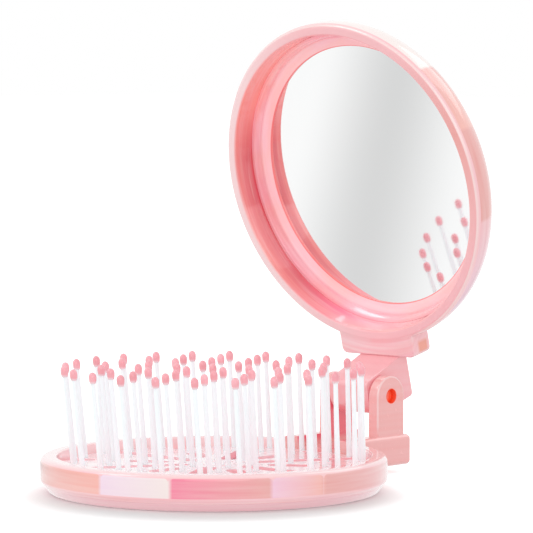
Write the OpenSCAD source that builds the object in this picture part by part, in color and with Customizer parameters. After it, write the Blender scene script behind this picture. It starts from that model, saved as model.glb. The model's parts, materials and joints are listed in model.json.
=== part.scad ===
// Folding hairbrush with a mirror in its lid, shown with the lid part way open.
// Millimetres. Z is up, the origin is the centre of the base's underside, and the
// hinge stands at +Y with its axis along X.

/* [Base] */
// Outer diameter of the brush base
base_d = 85; // [80:1:95]
// Height of the base from the table to the top of its rim
base_h = 8.8; // [7.8:0.1:10]
// Width of the flat rim round the pin bed
rim_w = 4.1; // [3.8:0.1:4.6]
// Radius on the rim's top outer edge
rim_edge_r = 1.5; // [0.6:0.1:2]
// Thickness of the base's inner floor
floor_t = 1.2; // [1:0.1:1.5]
// Wall of the skirt under the floor
skirt_w = 2.5; // [2.2:0.1:3]
// Height of the seam between the base and its cover
seam_h = 1.9; // [1.7:0.05:2.1]
// Thickness of the bottom cover's plate
cover_t = 1.5; // [1.2:0.1:1.6]
// Space between the cover's plate and the screws' heads
head_room = 0.5; // [0.3:0.1:0.6]
// How far the bevel under the side band runs in
bevel_in = 2.2; // [1.5:0.1:3]
// Width of the cover's locating lip
lip_w = 1.5; // [1:0.1:2]

/* [Pin bed] */
// Thickness of the openwork pin bed
bed_t = 1.6; // [1.4:0.1:1.8]
// Width of the windows between the bed's lobes
window_w = 4.4; // [3:0.1:4.8]
// Radius on the lobes' outer corners
lobe_r = 1.7; // [1:0.1:2]
// Diameter of the small holes round the centre
vent_d = 1.2; // [0.8:0.1:1.5]

/* [Pins] */
// Height of the pins above the bed, to the middle of their ball tips
pin_h = 23.5; // [18:0.5:26]
// Diameter of a pin where it leaves the bed
pin_root_d = 1.4; // [1.2:0.1:1.5]
// Diameter of a pin under its ball tip
pin_end_d = 1.1; // [0.9:0.1:1.2]
// Diameter of the foot that holds a pin under the bed
foot_d = 2.2; // [2:0.1:2.3]
// Diameter of a ball tip
tip_d = 1.9; // [1.7:0.1:2.1]
// Length of a ball tip
tip_l = 2.8; // [2.4:0.1:3.2]
// Distance from the outer pins to the rim's inner wall
pin_edge = 2.8; // [2.6:0.1:4]
// How far the outer pins' tips splay outwards
splay = 0.8; // [0:0.1:1]
// How far the roots of the pins and the windows between them stand back towards the hinge
root_back = 1.5; // [1:0.1:1.6]
// How far the tips of the pins stand forward of the centre
tip_forward = 0.4; // [0:0.1:0.6]

/* [Hinge] */
// Distance from the base's edge to the hinge axis
hinge_out = 11.7; // [11.6:0.1:14]
// Radius of the hinge ears round their pin
ear_r = 5.15; // [4.8:0.05:5.6]
// Thickness of each hinge ear
ear_t = 3.35; // [2.5:0.05:4]
// Width of the lid's knuckle between the ears
knuckle_w = 13.3; // [11:0.1:15]
// Radius of the knuckle
knuckle_r = 4.9; // [4.4:0.1:5.2]
// Diameter of the hinge pin
hinge_pin_d = 3.5; // [3:0.1:4]
// How deep the pin's ends lie in the ears
pin_sunk = 1.2; // [0.5:0.1:2]
// Half width that the foot block has beyond the ears
block_ledge = 0.8; // [0.4:0.1:2]
// Height of the foot block's shoulders above the rim
block_rise = 0.8; // [0.6:0.1:1.6]
// Radius on the foot block's back corners
block_r = 1.2; // [0.8:0.1:2]

/* [Lid arm] */
// Thickness of the arm where it meets the lid's collar
arm_t = 3.2; // [2.6:0.1:3.4]
// How far the arm runs past the hinge axis, away from the lid
arm_tail = 3.8; // [3:0.1:4.4]
// Distance from the hinge axis to the lid's collar
arm_join = 7.4; // [7:0.1:7.8]
// Length of the tongue inside the collar
tongue_l = 4.8; // [4:0.1:5.2]
// Thickness of the tongue
tongue_t = 2; // [1.6:0.1:2.2]
// Width of the tongue
tongue_w = 11.2; // [9:0.1:12]

/* [Lid] */
// How much smaller the lid's radius is than the base's
lid_inset = 0.5; // [0:0.1:1]
// Thickness of the lid's back behind the mirror
back_t = 1; // [0.8:0.1:2.4]
// Width of the lid's front rim
lid_rim_w = 3; // [2.6:0.1:3.2]
// Radius on the front rim's outer edge
lid_edge_r = 1.2; // [0.5:0.1:1.6]
// How far the rounding of the back runs in from the side
back_in = 10; // [8:0.5:12]
// Depth at which the rounding of the back starts
back_from = 2.5; // [2:0.1:3.5]
// How far the lid's centre lies towards the hinge when it is shut
lid_shift = 1; // [0.5:0.1:1.5]
// Width of the collar that holds the arm
collar_w = 24.8; // [22:0.1:28]
// Depth of the collar
collar_t = 6.7; // [6.2:0.1:8]
// Radius on the collar's corners
collar_r = 1.6; // [1:0.1:2.5]

/* [Mirror] */
// Width of the seat between the lid's inner wall and the edge of the glass
seat_w = 3.2; // [2.8:0.1:3.6]
// Thickness of the mirror glass
glass_t = 1.1; // [1:0.1:1.2]
// Depth of the glass below the lid's rim
glass_depth = 9.2; // [9:0.1:9.3]
// How far the adhesive pad stays inside the edge of the glass
pad_inset = 1.3; // [0.5:0.1:4]
// Thickness of the adhesive pad
pad_t = 0.3; // [0.2:0.1:0.5]
// Depth of the retainer's first step below the lid's rim
step_depth = 6; // [5.6:0.1:6.4]
// Depth of the retainer's ledge below its first step
ledge_drop = 1.9; // [1.5:0.1:2.1]
// Width of the retainer's ledge
ledge_w = 2.7; // [2.2:0.1:3]
// How far the retainer's lip covers the edge of the glass
lip_cover = 1.15; // [0.8:0.05:1.5]
// Space between the ball tips and the glass with the lid shut
glass_clear = 6; // [5:0.1:7]

/* [Screws] */
// Diameter of the screws' shanks
screw_d = 1.6; // [1.4:0.1:1.8]
// Diameter of the screws' heads
head_d = 2.8; // [2.4:0.1:3]
// Thickness of the screws' heads
head_t = 0.8; // [0.6:0.1:0.9]

/* [Fits] */
// Radial clearance of the hinge pin in its bores
pin_fit = 0.05; // [0.02:0.01:0.09]
// Gap on each side of the knuckle
side_gap = 0.2; // [0.1:0.05:0.3]
// Clearance between pieces that fit into each other
fit = 0.1; // [0.05:0.05:0.15]
// Gap left at the lid's stop and under the arm's sweep
swing_gap = 0.35; // [0.3:0.05:0.5]
// Gap between the table and the back of the lid when it is laid open flat
table_gap = 0.08; // [0.05:0.01:0.3]

/* [Pose] */
// Angle of the lid above its shut position
open_angle = 76; // [0:1:179]

/* [Hidden] */
$fn = 96;

shell_pink = [0.95, 0.72, 0.76];
deep_pink = [0.93, 0.45, 0.53];
bed_white = [0.96, 0.88, 0.91];
pin_white = [0.95, 0.94, 0.97];
tip_pink = [0.93, 0.58, 0.64];
coral = [0.93, 0.42, 0.33];
steel = [0.75, 0.76, 0.78];

// Base: heights above the table and radii from its centre
base_r = base_d / 2;
rim_in_r = base_r - rim_w;
foot_h = 0.8;
floor_under = cover_t + head_room + head_t;
floor_top = floor_under + floor_t;
bed_under = floor_top + foot_h;
bed_top = bed_under + bed_t;
skirt_in_r = base_r - skirt_w;
band_low = seam_h + 1;
seam_r = base_r - bevel_in * (band_low - seam_h) / band_low;
seam_step = 0.15;
inner_edge_r = 0.5;
bed_r = rim_in_r - 0.3;

// Pins: rings round the centre pin, and their radii at the bed and at the tips
rings = 4;
root_r = rim_in_r - pin_edge;
ring_step = root_r / rings;
tip_ring_r = root_r + splay;
tip_z = bed_top + pin_h;
tip_up = 0.42 * tip_l;
tip_low = tip_l - tip_up;
tip_neck_r = pin_end_d / 2 + 0.06;
tips_top = tip_z + tip_up;
bore_play = 0.15;
first_ring = 6;

// Openwork of the bed: windows between the pins, as radii from the centre
sector = 360 / first_ring;
window_start = ring_step - 1.3;
side_window_start = ring_step + 3.6;
side_window_end = 3 * ring_step - 3.5;
notch_start = 3 * ring_step + 4.7;
vent_ring_r = ring_step / 2;
boss_d = 3.8;
weld = 0.1;
bed_screw_turn = 15;
bed_screws_n = 3;
bed_screw_r = 2.5 * ring_step;

// Lid: depth from its rim to its back
glass_back = glass_depth + glass_t;
lid_depth = glass_back + pad_t + back_t;

// Hinge: place of its axis, ears and foot block. The axis is halfway up the shut
// brush, so that the lid's back comes down to the table when it is laid open flat.
shut_h = tips_top + glass_clear - glass_depth + lid_depth;
hinge_y = base_r + hinge_out;
hinge_z = (shut_h + table_gap) / 2;
arm_drop = shut_h - lid_depth - hinge_z;
arm_front = 0.7;
arm_back = arm_drop + arm_front + arm_t;
channel_w = knuckle_w + 2 * side_gap;
ears_w = channel_w + 2 * ear_t;
block_w = ears_w + 2 * block_ledge;
block_top = base_h + block_rise;
block_lift = seam_h;
block_front = rim_in_r - block_w / 2;
block_back = hinge_y + arm_join - swing_gap;
arm_corner = 1;
arm_sweep = norm([arm_back, arm_tail - arm_corner]);
channel_floor = hinge_z - arm_sweep - swing_gap;
bracket_screw_r = (rim_in_r + skirt_in_r) / 2 + 0.7;
bracket_screw_x = ears_w / 2 - ear_t / 2;
bracket_screw_y = sqrt(pow(bracket_screw_r, 2) - pow(bracket_screw_x, 2));

// Lid: sizes in its own frame, rim plane at 0 and depth upwards as when it is shut
lid_r = base_r - lid_inset;
lid_in_r = lid_r - lid_rim_w;
rim_inner_r = 0.6;
lid_draft = 0.5;
step_r = lid_in_r - lid_draft;
glass_r = step_r - seat_w;
pad_r = glass_r - pad_inset;
hinge_reach = hinge_y - lid_shift;
collar_end = hinge_reach - arm_join;
collar_front = 0.5;
collar_back = collar_front + collar_t;
tongue_front = collar_front + 0.8;
lip_r = glass_r - lip_cover;
ledge_depth = step_depth + ledge_drop;
lip_draft = 0.15;
ledge_wall_draft = 0.6;
ledge_r = lip_r + lip_draft + ledge_w;
retainer_straight = 1.6;
retainer_foot_r = glass_r + 1;
arm_screw_x = 3.2;
arm_screw_s = collar_end - 2.7;
arm_sink = 1.8;

// Screws: cross slot, play of the shank in its hole, and how far each shank bites
slot_l = head_d * 2 / 3;
slot_w = 0.3;
slot_cut = 0.35;
thread_play = 0.02;
screw_end_gap = 0.2;
bed_screw_bite = 1;
bracket_screw_bite = 3.6;

// Points along an arc, for outlines
function arc(c, r, from, to, steps = 8) =
    [for (i = [0 : steps]) let (a = from + (to - from) * i / steps) c + r * [cos(a), sin(a)]];

// Outline of a rectangle from corner a to corner b with rounded corners
function rounded(a, b, r, steps = 6) = concat(
    arc([b[0] - r, b[1] - r], r, 0, 90, steps),
    arc([a[0] + r, b[1] - r], r, 90, 180, steps),
    arc([a[0] + r, a[1] + r], r, 180, 270, steps),
    arc([b[0] - r, a[1] + r], r, 270, 360, steps));

// ---------- Base ----------

module base_pan() {
    color(shell_pink)
    difference() {
        rotate_extrude()
            polygon(concat(
                [[0, floor_under], [skirt_in_r, floor_under], [skirt_in_r, seam_h],
                 [seam_r, seam_h], [base_r, band_low]],
                arc([base_r - rim_edge_r, base_h - rim_edge_r], rim_edge_r, 0, 90),
                arc([rim_in_r + inner_edge_r, base_h - inner_edge_r], inner_edge_r, 90, 180, 4),
                [[rim_in_r, floor_top], [0, floor_top]]));
        // notch that the hinge bracket stands in
        translate([-block_w / 2 - fit, 0, floor_top])
            cube([block_w + 2 * fit, base_d, base_h]);
        at_bracket_screws() {
            translate([0, 0, seam_h - 1]) cylinder(d = head_d + 2 * fit, h = floor_under - seam_h + 1);
            cylinder(d = screw_d + 2 * fit, h = floor_top + 1);
        }
        at_bed_screws() cylinder(d = screw_d + 2 * fit, h = floor_top + 1);
    }
}

module base_cover() {
    lip_out = skirt_in_r - fit;
    lip_top = floor_under - fit;
    color(shell_pink)
    difference() {
        rotate_extrude()
            polygon([[0, 0], [base_r - bevel_in, 0], [seam_r - seam_step, seam_h],
                [lip_out, seam_h], [lip_out, lip_top], [lip_out - lip_w, lip_top],
                [lip_out - lip_w, cover_t], [0, cover_t]]);
        // the lip stops short of the bracket's screws
        translate([-block_w / 2, 0, seam_h]) cube([block_w, base_d, base_h]);
    }
}

// ---------- Pin bed ----------

// Slot along the radius from r1 to r2, with round ends, at a given turn
module radial_slot(r1, r2, turn) {
    rotate(turn) {
        translate([r1, -window_w / 2]) square([r2 - r1, window_w]);
        translate([r1, 0]) circle(d = window_w, $fn = 24);
        translate([r2, 0]) circle(d = window_w, $fn = 24);
    }
}

// Lobed outline of the bed, without its inner windows
module bed_outline() {
    offset(r = lobe_r, $fn = 24)
        offset(delta = -lobe_r)
            difference() {
                circle(r = bed_r);
                translate([0, root_back])
                    for (i = [0 : first_ring - 1]) {
                        radial_slot(window_start + window_w / 2, base_r, i * sector);
                        radial_slot(notch_start + window_w / 2, base_r, (i + 0.5) * sector);
                    }
            }
}

module pin_bed() {
    color(bed_white)
    difference() {
        union() {
            translate([0, 0, bed_under]) linear_extrude(bed_t) bed_outline();
            at_bed_screws() translate([0, 0, floor_top]) cylinder(d = boss_d, h = foot_h + weld);
        }
        for (i = [0 : first_ring - 1])
            translate([0, root_back, bed_under - 1]) {
                linear_extrude(bed_t + 2)
                    radial_slot(side_window_start + window_w / 2,
                        side_window_end - window_w / 2, (i + 0.5) * sector);
                rotate((i + 0.5) * sector) translate([vent_ring_r, 0])
                    cylinder(d = vent_d, h = bed_t + 2, $fn = 24);
            }
        for (k = [0 : rings], i = [0 : ring_count(k) - 1]) {
            p = root_point(k, i);
            translate([p[0], p[1], floor_top]) cylinder(d = pin_root_d + 2 * bore_play,
                h = base_h, $fn = 24);
        }
        at_bed_screws() translate([0, 0, floor_top - 1])
            cylinder(d = screw_d, h = foot_h + bed_screw_bite + screw_end_gap + 1);
    }
}

// ---------- Pins ----------

// The centre pin is ring 0, and ring k has six pins more than ring k - 1
function ring_count(k) = k == 0 ? 1 : k * first_ring;
function pin_turn(k, i) = k == 0 ? 0 : (i + 0.5) * 360 / ring_count(k);

// Where a pin leaves the bed, and the middle of its ball tip
function root_point(k, i) = let (a = pin_turn(k, i), r = root_r * k / rings)
    [r * cos(a), root_back + r * sin(a), bed_top];
function tip_point(k, i) = let (a = pin_turn(k, i), r = tip_ring_r * k / rings)
    [r * cos(a), r * sin(a) - tip_forward, tip_z];

// Stands the children at a point, with their Z axis along a direction
module along(from, dir) {
    translate(from) rotate([0, acos(dir[2] / norm(dir)), atan2(dir[1], dir[0])]) children();
}

module one_pin(k, i) {
    root = root_point(k, i);
    dir = tip_point(k, i) - root;
    below = root - dir * (bed_t + foot_h / 2) / dir[2];
    translate([below[0], below[1], floor_top]) cylinder(d = foot_d, h = foot_h, $fn = 24);
    along(below, dir)
        cylinder(d1 = pin_root_d, d2 = pin_end_d, $fn = 20,
            h = norm(tip_point(k, i) - below) - tip_low);
}

// Egg-shaped tip: an ellipse above its widest place, and a long round taper down to the pin
module one_tip(k, i) {
    tip_r = tip_d / 2;
    along(tip_point(k, i), tip_point(k, i) - root_point(k, i))
        rotate_extrude($fn = 24)
            polygon(concat(
                [[0, -tip_low]],
                [for (a = [90 : -18 : 18])
                    [tip_neck_r + (tip_r - tip_neck_r) * cos(a), -tip_low * sin(a)]],
                [for (a = [0 : 18 : 72]) [tip_r * cos(a), tip_up * sin(a)]],
                [[0, tip_up]]));
}

// One ring of pins or tips; the innermost ring takes the centre pin with it
module ring_of_pins(ring) {
    color(pin_white)
    for (k = [(ring == 1 ? 0 : ring) : ring], i = [0 : ring_count(k) - 1]) one_pin(k, i);
}

module ring_of_tips(ring) {
    color(tip_pink)
    for (k = [(ring == 1 ? 0 : ring) : ring], i = [0 : ring_count(k) - 1]) one_tip(k, i);
}

// ---------- Screws ----------

module screw(length) {
    translate([0, 0, -head_t])
        difference() {
            cylinder(d = head_d, h = head_t, $fn = 32);
            for (turn = [0, 90])
                rotate(turn) translate([-slot_l / 2, -slot_w / 2, -1]) cube([slot_l, slot_w, 1 + slot_cut]);
        }
    cylinder(d = screw_d - 2 * thread_play, h = length, $fn = 24);
}

module at_bracket_screws() {
    for (side = [-1, 1]) translate([side * bracket_screw_x, bracket_screw_y, 0]) children();
}

module at_bed_screws() {
    for (i = [0 : bed_screws_n - 1])
        rotate(bed_screw_turn + i * 360 / bed_screws_n) translate([bed_screw_r, 0, 0]) children();
}

module bracket_screws() {
    color(steel) at_bracket_screws() translate([0, 0, floor_under]) screw(floor_t + bracket_screw_bite);
}

module bed_screws() {
    color(steel) at_bed_screws() translate([0, 0, floor_under]) screw(floor_t + foot_h + bed_screw_bite);
}

// ---------- Hinge ----------

module hinge_bracket() {
    color(shell_pink)
    difference() {
        union() {
            intersection() {
                linear_extrude(block_top + 1)
                    polygon(rounded([-block_w / 2, block_front], [block_w / 2, block_back], block_r));
                translate([-block_w / 2 - 1, 0, 0]) rotate([90, 0, 90]) linear_extrude(block_w + 2)
                    polygon(rounded([block_front - block_r, block_lift], [block_back, block_top], block_r));
            }
            translate([0, hinge_y, 0]) {
                translate([-ears_w / 2, -ear_r, block_lift + 1])
                    cube([ears_w, 2 * ear_r, hinge_z - block_lift - 1]);
                translate([-ears_w / 2, 0, hinge_z]) rotate([0, 90, 0]) cylinder(r = ear_r, h = ears_w);
            }
        }
        // channel that the lid's knuckle and arm turn in
        translate([-channel_w / 2, 0, channel_floor])
            cube([channel_w, block_back + 1, hinge_z + ear_r]);
        // seat round the base's wall
        translate([0, 0, -1]) cylinder(r = rim_in_r, h = base_h * 2);
        translate([0, 0, -1]) cylinder(r = base_r + fit / 2, h = floor_top + 1);
        translate([-ears_w, hinge_y, hinge_z]) rotate([0, 90, 0])
            cylinder(r = hinge_pin_d / 2 + pin_fit, h = 2 * ears_w);
        at_bracket_screws() cylinder(d = screw_d, h = floor_top + bracket_screw_bite + screw_end_gap);
    }
}

module hinge_pin() {
    color(coral)
    translate([-ears_w / 2 + pin_sunk, hinge_y, hinge_z])
        rotate([0, 90, 0]) cylinder(d = hinge_pin_d, h = ears_w - 2 * pin_sunk);
}

// ---------- Lid ----------

// Hinge frame: origin on the axis, as when the lid is shut, turned to the open angle
module at_hinge() {
    translate([0, hinge_y, hinge_z]) rotate([-open_angle, 0, 0]) children();
}

// Lid frame: origin at the rim's centre, Y towards the hinge, Z into the lid's depth
module at_lid() {
    at_hinge() translate([0, -hinge_reach, arm_drop]) children();
}

module lid_shell() {
    color(shell_pink)
    at_lid()
    difference() {
        union() {
            rotate_extrude()
                polygon(concat(
                    [[0, lid_depth], [0, 0]],
                    arc([lid_r - lid_edge_r, lid_edge_r], lid_edge_r, -90, 0),
                    [for (a = [0 : 9 : 90])
                        [lid_r - back_in + back_in * cos(a),
                         back_from + (lid_depth - back_from) * sin(a)]]));
            translate([0, 0, collar_front])
                linear_extrude(collar_t)
                    polygon(rounded([-collar_w / 2, lip_r], [collar_w / 2, collar_end], collar_r));
        }
        lid_cavity();
        // slot for the arm's tongue, open at the collar's end
        translate([-tongue_w / 2 - fit, collar_end - tongue_l - fit, tongue_front - fit])
            cube([tongue_w + 2 * fit, tongue_l + 1, tongue_t + 2 * fit]);
        at_arm_screws() {
            translate([0, 0, tongue_front - collar_back])
                cylinder(d = screw_d + 2 * fit, h = collar_back - tongue_front);
            translate([0, 0, -arm_sink]) cylinder(d = head_d + 2 * fit, h = 2 * collar_t);
        }
    }
}

// Hollow of the lid: tapered wall, retainer seat, glass pocket and pad pocket
module lid_cavity() {
    rotate_extrude()
        polygon(concat([[0, -1], [lid_in_r + rim_inner_r, -1]],
            arc([lid_in_r + rim_inner_r, rim_inner_r], rim_inner_r, 270, 180, 4),
            [[step_r, step_depth], [step_r, step_depth + retainer_straight],
            [retainer_foot_r + fit / 2, glass_depth], [glass_r + fit, glass_depth],
            [glass_r + fit, glass_back], [pad_r + fit, glass_back],
            [pad_r + fit, glass_back + pad_t], [0, glass_back + pad_t]]));
}

module mirror_retainer() {
    seat_r = step_r - fit / 2;
    color(deep_pink)
    at_lid()
    rotate_extrude()
        polygon([[ledge_r + ledge_wall_draft, step_depth], [seat_r, step_depth],
            [seat_r, step_depth + retainer_straight], [retainer_foot_r, glass_depth],
            [lip_r, glass_depth], [lip_r + lip_draft, ledge_depth], [ledge_r, ledge_depth]]);
}

module mirror_glass() {
    color([0.9, 0.92, 0.94])
    at_lid() translate([0, 0, glass_depth]) cylinder(r = glass_r, h = glass_t, $fn = 144);
}

module mirror_pad() {
    color([0.85, 0.85, 0.85])
    at_lid() translate([0, 0, glass_back]) cylinder(r = pad_r, h = pad_t, $fn = 144);
}

// ---------- Lid arm ----------

module at_arm_screws() {
    for (side = [-1, 1]) translate([side * arm_screw_x, arm_screw_s, collar_back]) children();
}

module hinge_arm() {
    web_front = arm_drop + arm_front;
    nose_r = 1.5;
    color(shell_pink)
    difference() {
        at_hinge() {
            rotate([90, 0, 90])
                linear_extrude(knuckle_w, center = true)
                    polygon(concat(
                        arc([nose_r - knuckle_r, nose_r - knuckle_r], nose_r, 270, 180),
                        [[-arm_join, web_front], [-arm_join, arm_back]],
                        arc([arm_tail - arm_corner, arm_back - arm_corner], arm_corner, 90, 0),
                        [[knuckle_r, 0], [0, -knuckle_r]]));
            rotate([0, 90, 0]) cylinder(r = knuckle_r, h = knuckle_w, center = true);
            translate([-tongue_w / 2, -arm_join - tongue_l, arm_drop + tongue_front])
                cube([tongue_w, tongue_l + 0.5, tongue_t]);
        }
        at_hinge() rotate([0, 90, 0])
            cylinder(r = hinge_pin_d / 2 + pin_fit, h = knuckle_w + 2, center = true);
        at_lid() at_arm_screws() translate([0, 0, -collar_t]) cylinder(d = screw_d, h = collar_t);
    }
}

module arm_screws() {
    color(steel)
    at_lid() at_arm_screws() translate([0, 0, -arm_sink]) rotate([180, 0, 0])
        screw(collar_back - arm_sink - tongue_front - screw_end_gap);
}

base_pan();
base_cover();
pin_bed();
bed_screws();
hinge_bracket();
bracket_screws();
hinge_pin();
ring_of_pins(1);  // pins_ring_1
ring_of_pins(2);  // pins_ring_2
ring_of_pins(3);  // pins_ring_3
ring_of_pins(4);  // pins_ring_4
ring_of_tips(1);  // tips_ring_1
ring_of_tips(2);  // tips_ring_2
ring_of_tips(3);  // tips_ring_3
ring_of_tips(4);  // tips_ring_4
lid_shell();
mirror_pad();
mirror_glass();
mirror_retainer();
hinge_arm();
arm_screws();
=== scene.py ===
"""Folding pocket hairbrush with a mirror in its lid, on a white studio floor.

Run as a script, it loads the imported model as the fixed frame, builds the finished pieces round it
and leaves them with their materials, lamps and camera. All lengths are in metres.
"""

import json
import math

import bmesh
import bpy
from bpy.props import FloatProperty, FloatVectorProperty, IntProperty, PointerProperty
from mathutils import Matrix, Vector


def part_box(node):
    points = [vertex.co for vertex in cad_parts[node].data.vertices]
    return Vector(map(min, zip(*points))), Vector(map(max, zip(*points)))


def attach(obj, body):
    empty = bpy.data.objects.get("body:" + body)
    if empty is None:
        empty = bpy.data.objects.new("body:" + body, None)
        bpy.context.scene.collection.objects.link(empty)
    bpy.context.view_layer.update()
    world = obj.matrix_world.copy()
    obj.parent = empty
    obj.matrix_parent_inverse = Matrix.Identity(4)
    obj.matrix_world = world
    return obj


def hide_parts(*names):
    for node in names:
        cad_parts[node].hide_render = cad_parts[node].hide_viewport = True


bl_info = {
    "name": "Folding hairbrush",
    "version": (1, 0, 0),
    "blender": (4, 5, 0),
    "location": "View3D > Sidebar > Hairbrush",
    "description": "Builds the pieces, finishes and studio of a folding hairbrush with a mirror",
    "category": "Object",
}

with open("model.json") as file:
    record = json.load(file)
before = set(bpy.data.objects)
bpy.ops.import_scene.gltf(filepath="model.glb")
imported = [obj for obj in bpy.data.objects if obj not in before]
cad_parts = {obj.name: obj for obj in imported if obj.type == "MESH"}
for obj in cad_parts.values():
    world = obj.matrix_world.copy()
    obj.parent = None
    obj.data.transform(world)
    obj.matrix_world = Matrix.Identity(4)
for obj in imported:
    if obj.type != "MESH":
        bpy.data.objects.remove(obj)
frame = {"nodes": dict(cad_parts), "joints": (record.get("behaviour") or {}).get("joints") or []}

PIN_RINGS = 4

# Distances under which corners are joined, in meshes built here and in those of the frame.
WELD = 1e-7
CAD_WELD = 2e-6

# What the last letter of a setting's key stands for.
ENDINGS = {"r": "radius", "d": "diameter", "t": "thickness", "w": "width", "l": "length", "h": "height"}

# Places that the frame gives: the base's outline, the hinge and the lid's own axes.
BASE_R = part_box("base_pan")[1].x
BASE_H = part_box("base_pan")[1].z
BED_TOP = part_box("pin_bed")[1].z
BED_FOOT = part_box("pin_bed")[0].z
SEAM_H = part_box("base_pan")[0].z
HINGE = Vector(frame["joints"][0]["pos_m"])
OPEN_ANGLE = math.radians(-frame["joints"][0]["range_deg"][0])
TILT = Matrix.Rotation(-OPEN_ANGLE, 4, "X")
AT_HINGE = Matrix.Translation(HINGE) @ TILT

# Turns an outline drawn in (Y, Z) so that it runs along X.
ACROSS = Matrix(((0, 0, 1, 0), (1, 0, 0, 0), (0, 1, 0, 0), (0, 0, 0, 1)))


def metres(text, value):
    """A length that the panel shows."""
    return FloatProperty(description=text, default=value, unit="LENGTH", precision=5, min=0)


def srgb(red, green, blue):
    """Linear colour of an sRGB colour."""
    return tuple(c / 12.92 if c <= 0.04045 else ((c + 0.055) / 1.055) ** 2.4 for c in (red, green, blue))


def colour(text, red, green, blue):
    """A colour that the panel shows, given in sRGB."""
    return FloatVectorProperty(description=text, subtype="COLOR", size=3, min=0, max=1,
                               default=srgb(red, green, blue))


class NamedByKey:
    """Names each setting of a group after its own key, as Ear radius for ear_r"""

    def __init_subclass__(cls):
        for key, field in cls.__annotations__.items():
            words = [ENDINGS.get(word, word) for word in key.split("_")]
            field.keywords["name"] = " ".join(words).capitalize()


class BaseSizes(NamedByKey, bpy.types.PropertyGroup):
    """Sizes of the base's two shells and the pin bed"""

    rim_width: metres("Width of the flat rim round the pin bed", 0.0041)
    rim_edge: metres("Radius on the rim's outer edge", 0.0015)
    inner_edge: metres("Radius on the rim's inner edge", 0.0005)
    band_bottom: metres("Height at which the side band turns into the bevel", 0.0029)
    band_round: metres("Radius between the side band and the bevel", 0.0009)
    bevel_in: metres("How far the bevel under the side band runs in", 0.0022)
    floor_under: metres("Height of the underside of the inner floor", 0.0028)
    skirt_width: metres("Wall of the skirt under the floor", 0.0025)
    cover_plate: metres("Thickness of the bottom cover", 0.0015)
    cover_round: metres("Radius on the bottom cover's lower edge", 0.0007)
    seam_step: metres("Step at the seam between shell and cover", 0.00008)
    lip_width: metres("Width of the cover's locating lip", 0.0015)
    fit: metres("Clearance between pieces that fit into each other", 0.0001)
    bed_edge: metres("Radius on the edges of the pin bed's openwork", 0.00028)


class PinSizes(NamedByKey, bpy.types.PropertyGroup):
    """Sizes of the pins and their ball tips"""

    height: metres("Height of a ball tip's middle above the bed", 0.0235)
    root_d: metres("Diameter of a pin where it leaves the bed", 0.0014)
    end_d: metres("Diameter of a pin under its ball tip", 0.0011)
    foot_d: metres("Diameter of the foot under the bed", 0.0022)
    foot_h: metres("Height of the foot under the bed", 0.00066)
    tip_d: metres("Diameter of a ball tip", 0.0019)
    tip_up: metres("Height of a tip above its widest place", 0.001176)
    tip_low: metres("Length of a tip below its widest place", 0.001624)
    tip_neck_d: metres("Diameter of a tip's lower end", 0.00122)
    root_ring: metres("Radius of the outer ring where the pins leave the bed", 0.0356)
    splay: metres("How far the outer tips stand outside their roots", 0.0008)
    root_back: metres("How far the roots stand back towards the hinge", 0.0015)
    tip_forward: metres("How far the tips stand forward of the centre", 0.0004)
    first_ring: IntProperty(description="Pins in the innermost ring", default=6, min=3)


class HingeSizes(NamedByKey, bpy.types.PropertyGroup):
    """Sizes of the hinge bracket, its pin and the lid's arm"""

    ear_r: metres("Radius of the ears round their pin", 0.00515)
    ear_t: metres("Thickness of each ear", 0.00335)
    side_gap: metres("Gap on each side of the knuckle", 0.0002)
    knuckle_r: metres("Radius of the lid's knuckle", 0.0049)
    block_top: metres("Height of the foot block's shoulders", 0.0096)
    block_corner: metres("Radius on the foot block's back corners", 0.0012)
    swing_gap: metres("Gap under the arm's sweep", 0.00035)
    bore_d: metres("Diameter of the bore for the hinge pin", 0.0036)
    ear_edge: metres("Radius on the ears' edges", 0.0007)
    edge: metres("Radius on the arm's edges", 0.0008)
    arm_join: metres("Distance from the hinge axis to the lid's collar", 0.0074)
    arm_tail: metres("How far the arm runs past the hinge axis", 0.0038)
    tail_edge: metres("Radius on the back corner of the arm's tail", 0.001)
    arm_front: metres("Distance from the lid's rim plane to the arm's front", 0.0007)
    arm_t: metres("Thickness of the arm at the collar", 0.0032)
    nose_r: metres("Radius on the knuckle's front corner", 0.0015)
    tongue_w: metres("Width of the tongue in the collar", 0.0112)
    tongue_l: metres("Length of the tongue in the collar", 0.0048)
    tongue_t: metres("Thickness of the tongue", 0.002)
    tongue_in: metres("Depth of the tongue behind the collar's front", 0.0008)


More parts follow.
